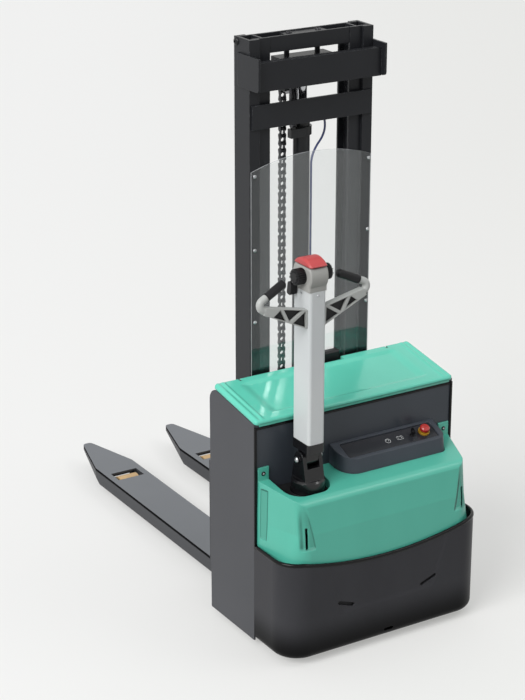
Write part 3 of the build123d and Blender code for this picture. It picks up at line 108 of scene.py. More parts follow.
class Finish(Graph):  # one material and the nodes that most finishes share
    def __init__(self, name):
        self.material = bpy.data.materials.new(name)
        self.material.use_nodes = True
        super().__init__(self.material.node_tree)
        self.tree.nodes.clear()
        self.spot = self.node("TexCoord", output="Object")
        self.place = self.node("SeparateXYZ", {}, {"Vector": self.spot})

    def axes(self):  # across, along and up, in metres
        return self.place, self.place.beside("Y"), self.place.beside("Z")

    def facing(self, axis):  # how squarely the surface faces along an axis, either way
        flat = self.node("NewGeometry", output="Normal")
        return self.node("SeparateXYZ", {}, {"Vector": flat}, axis).sum("ABSOLUTE")

    def noise(self, scale, detail=2, rough=0.5, stretch=None):
        spot = self.spot
        if stretch:
            spot = self.node("Mapping", {}, {"Vector": spot, "Scale": stretch})
        sockets = {"Vector": spot, "Scale": scale, "Detail": detail, "Roughness": rough}
        return self.node("TexNoise", {}, sockets)

    def step(self, value, low, high):  # 0 below low, 1 above high, smooth between
        sockets = {"Value": value, "From Min": low, "From Max": high}
        return self.node("MapRange", {"interpolation_type": "SMOOTHSTEP"}, sockets)

    def fade(self, value, low, high):
        return 1 - self.step(value, low, high)

    def within(self, value, low, high, soft):
        return self.step(value, low - soft, low + soft) * self.fade(value, high - soft, high + soft)

    def blend(self, amount, first, second):
        # a colour is a socket, a screen colour of three values, or a shader's own of four
        pair = [tone(*c) if isinstance(c, tuple) and len(c) == 3 else c for c in (first, second)]
        return self.node("Mix", {"data_type": "RGBA"}, {0: amount, 6: pair[0], 7: pair[1]}, 2)

    def edges(self, radius):  # rounded normal, and where it leaves the flat one
        soft = self.node("Bevel", {"samples": 4}, {"Radius": radius})
        flat = self.node("NewGeometry", output="Normal")
        same = self.node("VectorMath", {"operation": "DOT_PRODUCT"}, {0: soft, 1: flat}, "Value")
        return soft, self.step(1 - same, 0.02, 0.22)

    def close(self, sockets, height, normal):
        bump = {"Height": height, "Distance": 1, "Strength": 1, "Normal": normal}
        sockets["Normal"] = self.node("Bump", {}, bump)
        shader = self.node("BsdfPrincipled", {}, sockets)
        self.node("OutputMaterial", {}, {"Surface": shader})
        return self.material


def powderCoat(look, spec):
    # baked paint on sheet and section steel: orange peel, broad drift of shade, polished edges
    peel = look.noise(spec["peel"], 2)
    drift = look.noise(2.3, 3)
    soft, edge = look.edges(spec["edge"] * mm)
    rub = edge * look.step(look.noise(46, 4, 0.7), 0.46, 0.68)
    colour = look.blend(look.step(drift, 0.32, 0.7), spec["colour"], spec["drift"])
    if "mask" in spec:
        colour = look.blend(spec["mask"](look), colour, spec["second"])
    colour = look.blend(rub * spec["wear"], colour, spec["worn"])
    rough = spec["rough"] + (drift - 0.5) * 0.14 + (peel - 0.5) * 0.08 - rub * 0.1
    return look.close({"Base Color": colour, "Roughness": rough, "Specular IOR Level": spec["shine"]},
                      peel * (spec["depth"] * micron), soft)


def moulded(look, spec):
    # moulded plastic: fine spark grain, a trace of flow marks, soft edges
    grain = look.node("TexVoronoi", {"feature": "SMOOTH_F1"}, {"Vector": look.spot, "Scale": spec["grain"]})
    flow = look.noise(5, 3, 0.55, (1, 1, 0.35))
    soft, edge = look.edges(spec["edge"] * mm)
    colour = look.blend(look.step(flow, 0.3, 0.72), spec["colour"], spec["drift"])
    if "mask" in spec:
        colour = look.blend(spec["mask"](look), colour, spec["second"])
    colour = look.blend(edge * spec["wear"], colour, spec["worn"])
    rough = spec["rough"] + (flow - 0.5) * 0.12 + (grain - 0.4) * 0.06
    height = grain * (spec["depth"] * micron)
    if "relief" in spec:
        height = height + spec["relief"](look)
    sockets = {"Base Color": colour, "Roughness": rough, "Specular IOR Level": spec["shine"],
               "Coat Weight": spec["coat"], "Coat Roughness": spec["coatRough"]}
    return look.close(sockets, height, soft)


def bareSteel(look, spec):
    # turned, ground or rolled metal with a film of oil
    lines = look.noise(spec["lines"], 3, 0.6, spec["stretch"])
    film = look.noise(24, 4, 0.6)
    soft, edge = look.edges(spec["edge"] * mm)
    colour = look.blend(look.step(film, 0.35, 0.7), spec["colour"], spec["oil"])
    colour = look.blend(edge * 0.6, colour, spec["bright"])
    rough = spec["rough"] + (lines - 0.5) * 0.22 + (film - 0.5) * 0.16
    return look.close({"Base Color": colour, "Metallic": spec["metal"], "Roughness": rough},
                      lines * (spec["depth"] * micron), soft)


def rubbery(look, spec):
    # rubber and polyurethane: dull, dusty in the hollows, fine tooth
    tooth = look.noise(spec["tooth"], 3, 0.65)
    dust = look.noise(14, 4, 0.6)
    soft = look.edges(spec["edge"] * mm)[0]
    colour = look.blend(look.step(dust, 0.42, 0.75), spec["colour"], spec["dust"])
    rough = spec["rough"] + (tooth - 0.5) * 0.12
    metal = 0
    if "mask" in spec:  # a wheel's hub in the same node as its tyre
        hub = spec["mask"](look)
        colour = look.blend(hub, colour, spec["second"])
        rough = rough - hub * spec["hub"][0]
        metal = hub * spec["hub"][1]
    sockets = {"Base Color": colour, "Roughness": rough, "Metallic": metal, "Specular IOR Level": 0.25}
    return look.close(sockets, tooth * (spec["depth"] * micron), soft)


def hubOf(y, z, radius):
    seam = 0.0004

    def mask(look):
        across, along, up = look.axes()
        reach = ((along - y) * (along - y) + (up - z) * (up - z)).sum("SQRT")
        return look.fade(reach, radius - seam, radius + seam)

    return mask


# the forks' upright faces are coloured darker than the top
def forkSides(look):  # upright faces
    return look.fade(look.facing("Z"), 0.3, 0.6)


cover = {
    # metres: where each side of the hollow and the groove begins and ends and how deep they are; and how
    # much painted shade darkens them
    "dishIn": (0.294, 0.302), "dishOut": (0.324, 0.338), "dishLow": (0.415, 0.433),
    "dishHigh": (0.500, 0.585), "dishFront": (-0.15, -0.14), "leanFrom": 0.5, "lean": 0.2,
    "dishDeep": 0.014, "dishPaintedShade": 0.45, "grooveAlong": (-0.045, -0.016, 0.003),
    "grooveUp": (0.412, 0.590, 0.004), "grooveSide": (0.345, 0.350), "grooveDeep": 0.006, "groovePaintedShade": 0.5}
# apron: the sunk field's sides, slant and depth, and in dark the heights over which painted shade darkens it
# towards the floor
apron = {"leanFrom": 0.175, "lean": 0.33, "side": (0.176, 0.196), "low": (0.158, 0.180),
         "front": (-0.200, -0.195), "deep": 0.0030, "dark": (0.05, 0.17)}


def coverDish(look):  # upright hollow beside each corner that the grip slot lies in
    across, along, up = look.axes()
    wide = across.sum("ABSOLUTE")
    wall = look.step(wide - (up - cover["leanFrom"]) * cover["lean"], *cover["dishIn"])
    rise = look.step(up, *cover["dishLow"]) * look.fade(up, *cover["dishHigh"])
    return wall * look.fade(wide, *cover["dishOut"]) * rise * look.fade(along, *cover["dishFront"])


def coverGroove(look):  # upright pressing near the rear edge of each side
    across, along, up = look.axes()
    groove = look.within(along, *cover["grooveAlong"]) * look.within(up, *cover["grooveUp"])
    return groove * look.step(across.sum("ABSOLUTE"), *cover["grooveSide"])


def coverRelief(look):
    return coverGroove(look) * -cover["grooveDeep"] + coverDish(look) * -cover["dishDeep"]


# painted shade: the groove and the hollow darkened, as shade falls in them
def coverPaintedShade(look):
    return coverGroove(look) * cover["groovePaintedShade"] + coverDish(look) * cover["dishPaintedShade"]


def bumperRelief(look):  # faint sunk field on the apron, with slanting sides
    across, along, up = look.axes()
    wide = across.sum("ABSOLUTE") - (up - apron["leanFrom"]) * apron["lean"]
    field = look.fade(wide, *apron["side"]) * look.step(up, *apron["low"])
    return field * look.fade(along, *apron["front"]) * -apron["deep"]


# painted shade on the apron, darker towards the floor
def bumperPaintedShade(look):  # darker towards the floor
    return look.fade(look.place.beside("Z"), *apron["dark"])


def lidRelief(look):  # slow waves in the moulding
    return look.noise(1.7, 2) * 0.0016


# Tables of finishes: screen colours, depth of texture in micrometres, edge radius in millimetres
paints = "colour drift worn wear rough peel depth edge shine", {
    "framePaint": ((38, 39, 42), (44, 45, 48), (84, 85, 88), 0.35, 0.46, 760, 18, 1.4, 0.2),
    "panelPaint": ((64, 65, 69), (69, 70, 74), (112, 113, 116), 0.3, 0.33, 820, 16, 1.6, 0.22),
    "bulkheadPaint": ((54, 59, 66), (59, 64, 71), (84, 90, 97), 0.3, 0.32, 820, 16, 1.2, 0.35),
    # the mast's light rubbed edges: partly worn paint, partly a painted highlight along the edges
    "mastPaint": ((33, 34, 37), (37, 38, 41), (138, 140, 144), 0.55, 0.36, 640, 22, 2.6, 0.2),
    "forkPaint": ((108, 111, 115), (113, 116, 120), (128, 130, 132), 0.3, 0.42, 700, 20, 1.2, 0.2),
    "tubePaint": ((199, 203, 204), (205, 208, 208), (228, 229, 228), 0.3, 0.33, 880, 14, 1, 0.5),
    "barrelPaint": ((22, 23, 25), (26, 27, 29), (88, 89, 92), 0.4, 0.30, 640, 18, 1.2, 0.3),
}
plastics = "colour drift worn wear rough grain depth edge shine coat coatRough", {
    "coverGreen": ((74, 172, 151), (78, 176, 155), (124, 208, 190), 0.35, 0.36, 900, 20, 4.5,
                   0.5, 0.3, 0.22),
    # the cover's plastic; its colour painted lighter for the light falling on top
    "lidGreen": ((94, 202, 178), (98, 206, 182), (130, 216, 196), 0.3, 0.24, 900, 8, 6, 0.3, 0.4, 0.08),
    "bumperPlastic": ((55, 55, 58), (59, 59, 62), (82, 82, 84), 0.3, 0.38, 700, 28, 3, 0.1),
    "rimPlastic": ((9, 9, 10), (12, 12, 13), (30, 30, 32), 0.2, 0.2, 700, 4, 1, 0.2),
    "consolePlastic": ((60, 65, 73), (65, 70, 78), (96, 103, 111), 0.3, 0.36, 820, 26, 5.5, 0.3),
    "blackPlastic": ((18, 18, 20), (22, 22, 24), (54, 54, 56), 0.3, 0.36, 900, 22, 1.6, 0.25),
    # black without shine, for the painted shade under the fork edges
    "stripBlack": ((7, 7, 8), (9, 9, 10), (14, 14, 15), 0.2, 0.6, 900, 10, 0.4, 0.03),
    "footBlack": ((14, 14, 16), (18, 18, 20), (70, 70, 73), 0.4, 0.24, 500, 20, 3, 0.3, 0.3, 0.1),
    "plateBlack": ((40, 41, 46), (44, 45, 50), (54, 54, 57), 0.2, 0.22, 1200, 6, 1, 0.3),
    "stopRed": ((176, 38, 36), (186, 46, 42), (222, 110, 104), 0.3, 0.25, 1200, 6, 1.6, 0.5, 0.4, 0.08),
    "bellyRed": ((184, 62, 64), (192, 70, 71), (214, 120, 120), 0.35, 0.36, 950, 20, 6),
    # the collar's yellow, darkened to paint the shade it lies in under the knob
    "collarYellow": ((172, 130, 34), (178, 136, 40), (214, 184, 110), 0.3, 0.34, 1200, 8, 1),
    "headPlastic": ((157, 157, 153), (163, 163, 159), (196, 196, 192), 0.3, 0.42, 620, 30, 4),
    "handleMetal": ((172, 175, 172), (179, 181, 178), (208, 209, 206), 0.35, 0.36, 520, 34, 2.6),
    "batteryCase": ((44, 46, 50), (50, 52, 56), (80, 82, 86), 0.3, 0.5, 420, 40, 2, 0.3),
    "tubeBlue": ((46, 58, 112), (52, 66, 124), (90, 104, 160), 0.2, 0.3, 1400, 4, 0.8, 0.5, 0.3, 0.15),
    "iconInk": ((196, 198, 198), (204, 206, 206), (214, 215, 215), 0.2, 0.5, 1600, 4, 0.2),
}
metals = "colour oil bright metal rough lines stretch depth edge", {
    "steel": ((150, 150, 152), (112, 112, 114), (200, 200, 202), 1, 0.36, 420, (0.12, 1, 1), 6, 0.8),
    "zinc": ((186, 188, 190), (160, 162, 164), (222, 223, 224), 1, 0.28, 800, (1, 1, 1), 4, 0.5),
    "chainSteel": ((74, 74, 77), (48, 48, 51), (150, 150, 153), 0.85, 0.38, 600, (1, 1, 0.4), 6, 0.6),
    "rodChrome": ((200, 201, 204), (182, 183, 186), (228, 228, 230), 1, 0.12, 500, (1, 1, 0.05), 1, 0.8),
    "castIron": ((60, 61, 64), (46, 47, 50), (112, 112, 114), 0.3, 0.55, 260, (1, 1, 1), 120, 1.6),
}
rubbers = "colour dust rough tooth depth edge", {
    "gripRubber": ((22, 22, 24), (34, 34, 36), 0.48, 900, 60, 4.5),
    "matRubber": ((22, 22, 24), (38, 38, 39), 0.6, 500, 100, 1),
    "driveTyre": ((40, 36, 33), (64, 58, 52), 0.55, 420, 100, 3),
    "casterTyre": ((34, 34, 35), (58, 57, 55), 0.55, 420, 100, 3),
    "rollerTan": ((196, 164, 118), (176, 148, 110), 0.42, 500, 60, 2),
}
uncoated = {"shine": 0.5, "coat": 0, "coatRough": 0.12}  # for a row that ends early
extras = {
    # a second colour where a mask lies, relief, and how much smoother and how metallic a wheel's hub is
    "forkPaint": {"mask": forkSides, "second": (63, 64, 67)},
    # the cover's second colour is the painted shade in its groove and hollows
    "coverGreen": {"mask": coverPaintedShade, "second": (52, 134, 116), "relief": coverRelief},
    "lidGreen": {"relief": lidRelief},
    # the bumper's second colour is painted shade near the floor
    "bumperPlastic": {"mask": bumperPaintedShade, "second": (12, 12, 13), "relief": bumperRelief},
    "driveTyre": {"mask": hubOf(-0.075, 0.115, 0.092), "second": (120, 121, 123), "hub": (0.1, 0.8)},
    "casterTyre": {"mask": hubOf(-0.054, 0.065, 0.046), "second": (126, 127, 129), "hub": (0.1, 0.8)},
    "rollerTan": {"mask": hubOf(1.310, 0.041, 0.022), "second": (150, 150, 152), "hub": (0.12, 1)},
}
recipes = {powderCoat: paints, moulded: plastics, bareSteel: metals, rubbery: rubbers}
finishes = {}
for recipe, (columns, table) in recipes.items():
    for name, row in table.items():
        spec = dict(zip(columns.split(), row))
        finishes[name] = recipe(Finish(name), {**uncoated, **spec, **extras.get(name, {})})


def clearSheet(look, spec):
    # clear sheet: sees through, mirrors by angle, and its cut edges look frosted
    haze = look.noise(9, 3)
    broad = look.step(look.facing("Y"), 0.3, 0.7)
    tilt = look.node("LayerWeight", {}, {"Blend": 0.5}, "Facing")
    mirror = spec["mirror"] + tilt.sum("POWER", 5) * (1 - spec["mirror"])
    amount = mirror + (1 - broad) * spec["rim"] + haze * spec["haze"]
    through = look.node("BsdfTransparent", {}, {"Color": tone(*spec["tint"])})
    sheet = look.node("BsdfPrincipled", {}, {
        "Base Color": tone(*spec["sheen"]), "Roughness": spec["rough"], "Metallic": broad})
    both = look.node("MixShader", {}, {0: amount, 1: through, 2: sheet})
    look.node("OutputMaterial", {}, {"Surface": both})
    return look.material


finishes["shieldClear"] = clearSheet(Finish("shieldClear"), {
    "mirror": 0.08, "rim": 0.3, "haze": 0.01, "rough": 0.03,
    "tint": (250, 251, 251), "sheen": (225, 228, 230)})

dress = {
    "framePaint": "chassis_frame support_leg_left support_leg_right mast_foot",
    "panelPaint": "side_panel_left side_panel_right",
    "bulkheadPaint": "bulkhead_panel",
    "bumperPlastic": "bumper",
    "coverGreen": "front_cover",
    "consolePlastic": "console",
    "plateBlack": "console_faceplate",
    "blackPlastic": "hose_guard lift_rockers ignition_key motor_controller",
    "footBlack": "tiller_base tiller_socket",
    "stopRed": "estop_button",
    "collarYellow": "estop_collar",
    "bellyRed": "belly_button",
    "matRubber": "tiller_well",
    "batteryCase": "battery",
    "castIron": "power_pack drive_gearbox drive_motor",
    "steel": "slew_ring outer_mast_rollers inner_mast_rollers carriage_rollers_upper "
             "carriage_rollers_lower chain_wheel caster_fork",
    "driveTyre": "drive_wheel",
    "casterTyre": "caster_wheel",
    "rollerTan": "load_roller_left load_roller_right",
    "tubePaint": "tiller_tube",
    "headPlastic": "tiller_head",
    "handleMetal": "tiller_handles",
    "gripRubber": "tiller_grips",
    "mastPaint": "outer_channel_left outer_channel_right inner_channel_left inner_channel_right "
                 "mast_top_tie mast_tie_plate inner_ties rod_head carriage_frame",
    "barrelPaint": "cylinder_barrel",
    "rodChrome": "piston_rod",
    "shieldClear": "shield",
    "forkPaint": "fork_left fork_right",
}
for finish, members in dress.items():
    for member in members.split():
        nodes[member].data.materials.clear()
        nodes[member].data.materials.append(finishes[finish])
print("finishes:", len(finishes))


# Pieces

def addObject(name, data, place=(0, 0, 0), turn=(0, 0, 0)):
    made = bpy.data.objects.new(name, data)
    made.location, made.rotation_euler = place, turn
    bpy.context.scene.collection.objects.link(made)
    return made


def newPiece(name, mesh, body, finish=None):
    piece = addObject(name, mesh)
    if finish:
        mesh.materials.append(finishes[finish])
    if body:
        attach(piece, body)
    return piece


def solidPiece(name, shape, body, finish, smooth=False):  # its faces turned outwards
    bmesh.ops.recalc_face_normals(shape, faces=shape.faces)
    for face in shape.faces:
        face.smooth = smooth
    mesh = bpy.data.meshes.new(name)
    shape.to_mesh(mesh)
    shape.free()
    return newPiece(name, mesh, body, finish)


def skin(shape, rings, closed=False):  # walls between rings of points, and caps on an open run
    count = len(rings[0])
    after = rings[1:] + rings[:1] if closed else rings[1:]
    for one, two in zip(rings, after):
        for k in range(count):
            shape.faces.new((one[k], two[k], two[(k + 1) % count], one[(k + 1) % count]))
    if not closed:
        shape.faces.new(rings[0])
        shape.faces.new(list(reversed(rings[-1])))


def roundedBox(shape, middle, sizes, radius, segments, lean=0):
    place = Matrix.Translation(middle) @ Matrix.Rotation(lean, 4, "X") @ Matrix.Diagonal((*sizes, 1))
    made = bmesh.ops.create_cube(shape, size=1, matrix=place)
    edges = list(dict.fromkeys(edge for vert in made["verts"] for edge in vert.link_edges))
    bmesh.ops.bevel(shape, geom=edges, offset=radius, segments=segments, profile=0.5, affect="EDGES")


def makeTree(name, sizes):
    tree = bpy.data.node_groups.new(name, "GeometryNodeTree")
    face = tree.interface
    face.new_socket("Geometry", in_out="INPUT", socket_type="NodeSocketGeometry")
    for size, value in sizes.items():
        kind = "NodeSocketInt" if isinstance(value, int) else "NodeSocketFloat"
        face.new_socket(size, in_out="INPUT", socket_type=kind).default_value = value
    face.new_socket("Finish", in_out="INPUT", socket_type="NodeSocketMaterial")
    face.new_socket("Geometry", in_out="OUTPUT", socket_type="NodeSocketGeometry")
    graph = Graph(tree, "GeometryNode")
    entry = tree.nodes.new("NodeGroupInput")
    return graph, {out.name: Socket(graph, out) for out in entry.outputs if out.name}


def endTree(graph, geometry, finish):
    real = graph.node("RealizeInstances", {}, {"Geometry": geometry})
    flat = graph.node("SetShadeSmooth", {}, {"Geometry": real, "Shade Smooth": False})
    done = graph.node("SetMaterial", {}, {"Geometry": flat, "Material": finish})
    graph.node("NodeGroupOutput", {}, {"Geometry": done})
    return graph


def joined(graph, *parts):
    join = graph.node("JoinGeometry")
    for part in parts:
        graph.tree.links.new(part.out, join.out.node.inputs[0])
    return join


def moved(graph, geometry, shift=None, turn=None, scale=None):
    given = {"Geometry": geometry, "Translation": shift, "Rotation": turn, "Scale": scale}
    return graph.node("Transform", {}, {name: value for name, value in given.items() if value is not None})


def shiftBy(graph, x=0, y=0, z=0):
    return graph.node("ShaderNodeCombineXYZ", {}, {"X": x, "Y": y, "Z": z})


def raised(graph, geometry, z):
    return moved(graph, geometry, shiftBy(graph, z=z))


def cylinder(graph, vertices, radius, depth):
    return graph.node("MeshCylinder", {}, {"Vertices": vertices, "Radius": radius, "Depth": depth})


def ringOf(graph, vertices, radius):
    return graph.node("MeshCircle", {"fill_type": "NONE"}, {"Vertices": vertices, "Radius": radius})


def onPoints(graph, points, instance, sockets=None):
    return graph.node("InstanceOnPoints", {}, {"Points": points, "Instance": instance, **(sockets or {})})


def stored(graph, name, kind):
    return graph.node("InputNamedAttribute", {"data_type": kind}, {"Name": name}, "Attribute")


def grow(name, graph, points, sizes, body, finish, attributes):
    # runs a tree on a set of points and makes a piece of the plain mesh that comes of it
    mesh = bpy.data.meshes.new(name + "Points")
    mesh.from_pydata([tuple(p) for p in points], [], [])
    for key, (kind, values) in attributes.items():
        layer = mesh.attributes.new(key, kind, "POINT")
        field = "vector" if kind == "FLOAT_VECTOR" else "value"
        for item, value in zip(layer.data, values):
            setattr(item, field, value)
    holder = addObject(name + "Points", mesh)
    modifier = holder.modifiers.new(name, "NODES")
    modifier.node_group = graph.tree
    given = dict(sizes, Finish=finishes[finish])
    for item in graph.tree.interface.items_tree:
        if item.in_out == "INPUT" and item.name in given:
            modifier[item.identifier] = given[item.name]
    view = bpy.context.evaluated_depsgraph_get()
    view.update()
    result = bpy.data.meshes.new_from_object(holder.evaluated_get(view))
    holder.modifiers.clear()
    bpy.data.objects.remove(holder)
    result.name = name
    return newPiece(name, result, body)


# Lift chain

chain = {"x": -55 * mm, "wheelY": 350 * mm, "wheelZ": 1830 * mm, "turnLinks": 4, "frontLinks": 5,
         "liftLinks": 55, "rearLinks": 59, "link": {
             "Pitch": 25.4 * mm, "Plate height": 19 * mm, "Plate": 2.6 * mm, "Inside width": 11 * mm,
             "Pin radius": 4.2 * mm, "Roller radius": 6.6 * mm, "Waist": 0.42}}


def chainTree():
    graph, given = makeTree("chainLinks", chain["link"])
    pitch, high, plate, inside = given["Pitch"], given["Plate height"], given["Plate"], given["Inside width"]
    # plate outline: two round ends and a waist between them
    ring = graph.node("CurvePrimitiveCircle", {"mode": "RADIUS"}, {"Resolution": 24, "Radius": 1})
    spot = graph.node("InputPosition")
    across = graph.node("ShaderNodeSeparateXYZ", {}, {"Vector": spot})
    along = across.beside("Y")
    end = (across * 50).sum("ROUND").sum("SIGN")
    narrow = 1 - given["Waist"] * (1 - end.sum("ABSOLUTE"))
    shape = shiftBy(graph, across * high * 0.5 + end * pitch * 0.5, along * high * 0.5 * narrow)
    outline = graph.node("SetPosition", {}, {"Geometry": ring, "Position": shape})
    face = graph.node("FillCurve", {"mode": "NGONS"}, {"Curve": outline})
    sockets = {"Mesh": face, "Offset Scale": plate, "Individual": False}
    wall = graph.node("ExtrudeMesh", {"mode": "FACES"}, sockets)
    back = graph.node("FlipFaces", {}, {"Mesh": face})
    slab = graph.node("MergeByDistance", {}, {"Geometry": joined(graph, wall, back), "Distance": 1e-6})

    def pair(gap):  # the same plate on both sides of the chain
        return joined(graph, raised(graph, slab, gap), raised(graph, slab, 0 - gap - plate))

    def bars(radius, length):
        bar = cylinder(graph, 12, radius, length)
        return joined(graph, *[moved(graph, bar, shiftBy(graph, pitch * half)) for half in (0.5, -0.5)])

    innerLink = joined(graph, pair(inside * 0.5), bars(given["Roller radius"], inside))
    outerLink = joined(graph, pair(inside * 0.5 + plate * 1.08),
                       bars(given["Pin radius"], inside + plate * 4.9))
    upright = (0, -pi / 2, 0)
    kind = stored(graph, "innerLink", "FLOAT")
    turn = shiftBy(graph, stored(graph, "turn", "FLOAT"))
    parts = []
    for link, chosen in ((innerLink, kind), (outerLink, 1 - kind)):
        parts.append(onPoints(graph, given["Geometry"], moved(graph, link, turn=upright), {
            "Selection": chosen.sum("GREATER_THAN", 0.5), "Rotation": turn}))
    return endTree(graph, joined(graph, *parts), given["Finish"])


def smooth(value, low, high):
    t = min(1, max(0, (value - low) / (high - low)))
    return t * t * (3 - 2 * t)


def gather(mesh, low, high, lift):
    # packs a strand made at full lift into its run at rest
    for vert in mesh.vertices:
        near, far = 0, 1
        for halving in range(40):
            share = (near + far) / 2
            reached = low + (high - low) * share + lift * smooth(share, 0, 1)
            near, far = (share, far) if reached < vert.co.z else (near, share)
        if vert.co.z > high + lift:
            vert.co.z -= lift
        elif vert.co.z > low:
            vert.co.z = low + (high - low) * share


def chainPieces():
    graph = chainTree()
    pitch, x, links = chain["link"]["Pitch"], chain["x"], chain["turnLinks"]
    radius = pitch / 2 / sin(pi / 2 / links)
    frontY, rearY, topZ = chain["wheelY"] - radius, chain["wheelY"] + radius, chain["wheelZ"]
    lift = chain["liftLinks"] * pitch
    frontLinks = range(chain["frontLinks"] + chain["liftLinks"])
    front = [(x, frontY, topZ + lift - (k + 0.5) * pitch) for k in frontLinks]
    rear = [(x, rearY, topZ - (k + 0.5) * pitch) for k in range(chain["rearLinks"])]
    inner = radius * cos(pi / 2 / links)
    angles = [pi * (1 - (k + 0.5) / links) for k in range(links)]
    over = [(x, chain["wheelY"] + inner * cos(a), topZ + inner * sin(a)) for a in angles]
    # name, link places, turns, kind of the first link, node it stands for, bodies at its low and high end
    runs = (
        ("liftChainFront", front, [0] * len(front), 0, "chain_front_strand", ("chassis", "inner_mast")),
        ("liftChainTurn", over, angles, 1, "chain_over_wheel", ("inner_mast",)),
        ("liftChainRear", rear, [0] * len(rear), 1, "chain_rear_strand", ("carriage", "inner_mast")),
    )
    for name, points, turns, first, node, ends in runs:
        kinds = [float((k + first) % 2) for k in range(len(points))]
        body = ends[0] if len(ends) == 1 else None
        piece = grow(name, graph, points, {}, body, "chainSteel",
                     {"turn": ("FLOAT", turns), "innerLink": ("FLOAT", kinds)})
        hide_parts(node)
        if len(ends) == 2:
            y, low = points[-1][1], points[-1][2] + pitch / 2
            if name == "liftChainFront":
                gather(piece.data, low, topZ, lift)
            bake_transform(piece)


# Screws, studs and pin ends

screwSizes = {"Socket": 0.5, "Sides": 6, "Dome": 0.62}  # shares of the head's radius, but for the sides
screws = {
    # body, slot, finish, sizes, and for each head its place, outward direction and radius in millimetres
    "shieldScrews": ("chassis", "steel", "zinc", {}, [
        ((x, 282, z), (0, -1, 0), 6.5)
        for x, z in ((-224, 1560), (-224, 1305), (-224, 1051), (228, 1560), (228, 1308), (228, 1048))]),
    "coverWashers": ("chassis", "black_plastic", "blackPlastic", {"Socket": 0.42, "Dome": 0.35}, [
        ((side * 366, -5, 637), (0, -1, 0), 8) for side in (-1, 1)]),
    "coverScrews": ("chassis", "steel", "zinc", {"Socket": 0.4}, [
        ((side * 366, -5.8, 637), (0, -1, 0), 4.6) for side in (-1, 1)]),
    "pinEnds": ("drive_unit", "steel", "zinc", {"Socket": 0.3}, [
        ((-236 + side * 46, -75, 694), (side, 0, 0), 11) for side in (-1, 1)]),
    "tubeScrews": ("tiller", "steel", "zinc", {"Socket": 0.45}, [
        ((-236, -125, 1270), (0, -1, 0), 4.2), ((-267, -75, 1270), (-1, 0, 0), 4.2),
        ((-205, -75, 1270), (1, 0, 0), 4.2)]),
    "mastStuds": ("chassis", "steel", "barrelPaint", {"Socket": 0.35, "Dome": 0.55}, [
        ((side * 240.5, 368, 1995), (side, 0, 0), 14) for side in (-1, 1)]),
    "beamBolts": ("inner_mast", "steel", "chainSteel", {"Socket": 0.6, "Dome": 0.7}, [
        ((side * 57, 342, 2007), (0, 0, 1), 10.5) for side in (-1, 1)]),
}


def screwTree():
    graph, given = makeTree("screwHeads", screwSizes)
    ball = graph.node("MeshUVSphere", {}, {"Segments": 20, "Rings": 10, "Radius": 1})
    dome = moved(graph, ball, scale=shiftBy(graph, 1, 1, given["Dome"]))
    under = moved(graph, graph.node("MeshCube", {}, {"Size": (4, 4, 2)}), (0, 0, -1))
    hole = raised(graph, cylinder(graph, given["Sides"], given["Socket"], 0.8), given["Dome"] + 0.05)
    cap = graph.node("MeshBoolean", {"operation": "DIFFERENCE"},
                     {"Mesh 1": dome, "Mesh 2": joined(graph, under, hole)})
    facing = stored(graph, "facing", "FLOAT_VECTOR")
    turn = graph.node("FunctionNodeAlignRotationToVector", {"axis": "Z"}, {"Vector": facing})
    size = stored(graph, "size", "FLOAT")
    heads = onPoints(graph, given["Geometry"], cap, {"Rotation": turn, "Scale": size})
    return endTree(graph, heads, given["Finish"])


def screwPieces():
    graph = screwTree()
    for name, (body, slot, finish, sizes, heads) in screws.items():
        places, facings, radii = zip(*heads)
        points = [Vector(place) * mm for place in places]
        grow(name, graph, points, {**screwSizes, **sizes}, body, finish, {
            "facing": ("FLOAT_VECTOR", [Vector(facing) for facing in facings]),
            "size": ("FLOAT", [radius * mm for radius in radii])})


# Throttle wheels

thumb = {"place": (-236, -84, 1331), "reach": 49.6, "spokes": 9, "spoke": (0.0036, 0.017, 0.0012),
         "drum": {"Core": 24.2 * mm, "Rib": 2.8 * mm, "Length": 30 * mm, "Ribs": 24}}


def thumbTree():
    graph, given = makeTree("throttleRibs", thumb["drum"])
    core, length = given["Core"], given["Length"]
    drum = cylinder(graph, 48, core, length * 0.97)
    hub = cylinder(graph, 32, core * 0.52, length)
    lip = graph.node("MeshCone", {}, {
        "Vertices": 48, "Radius Top": core * 0.72, "Radius Bottom": core * 0.97, "Depth": length * 0.05})
    lips = joined(graph, raised(graph, lip, length * 0.48),
                  moved(graph, lip, shiftBy(graph, z=length * -0.53), (pi, 0, 0)))
    ring = ringOf(graph, given["Ribs"], core)
    ribs = onPoints(graph, ring, cylinder(graph, 8, given["Rib"], length * 0.9))
    ball = graph.node("MeshIcoSphere", {}, {"Subdivisions": 2, "Radius": given["Rib"]})
    caps = [onPoints(graph, raised(graph, ring, length * share), ball) for share in (0.45, -0.45)]
    spoke = graph.node("MeshCube", {}, {"Size": thumb["spoke"]})
    star = ringOf(graph, thumb["spokes"], core * 0.62)
    spin = graph.node("FunctionNodeAlignRotationToVector", {"axis": "Y"}, {
        "Vector": graph.node("InputPosition")})
    spokes = [onPoints(graph, raised(graph, star, length * share), spoke, {"Rotation": spin})
              for share in (0.5, -0.5)]
    wheel = moved(graph, joined(graph, drum, hub, lips, ribs, *caps, *spokes), turn=(0, pi / 2, 0))
    return endTree(graph, onPoints(graph, given["Geometry"], wheel), given["Finish"])


def thumbPiece():
    x, y, z = thumb["place"]
    places = [Vector((x + side * thumb["reach"], y, z)) * mm for side in (-1, 1)]
    piece = grow("throttleWheels", thumbTree(), places, {}, "thumb_wheels",
                 "blackPlastic", {})
    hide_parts("thumb_wheels")


# Battery lid

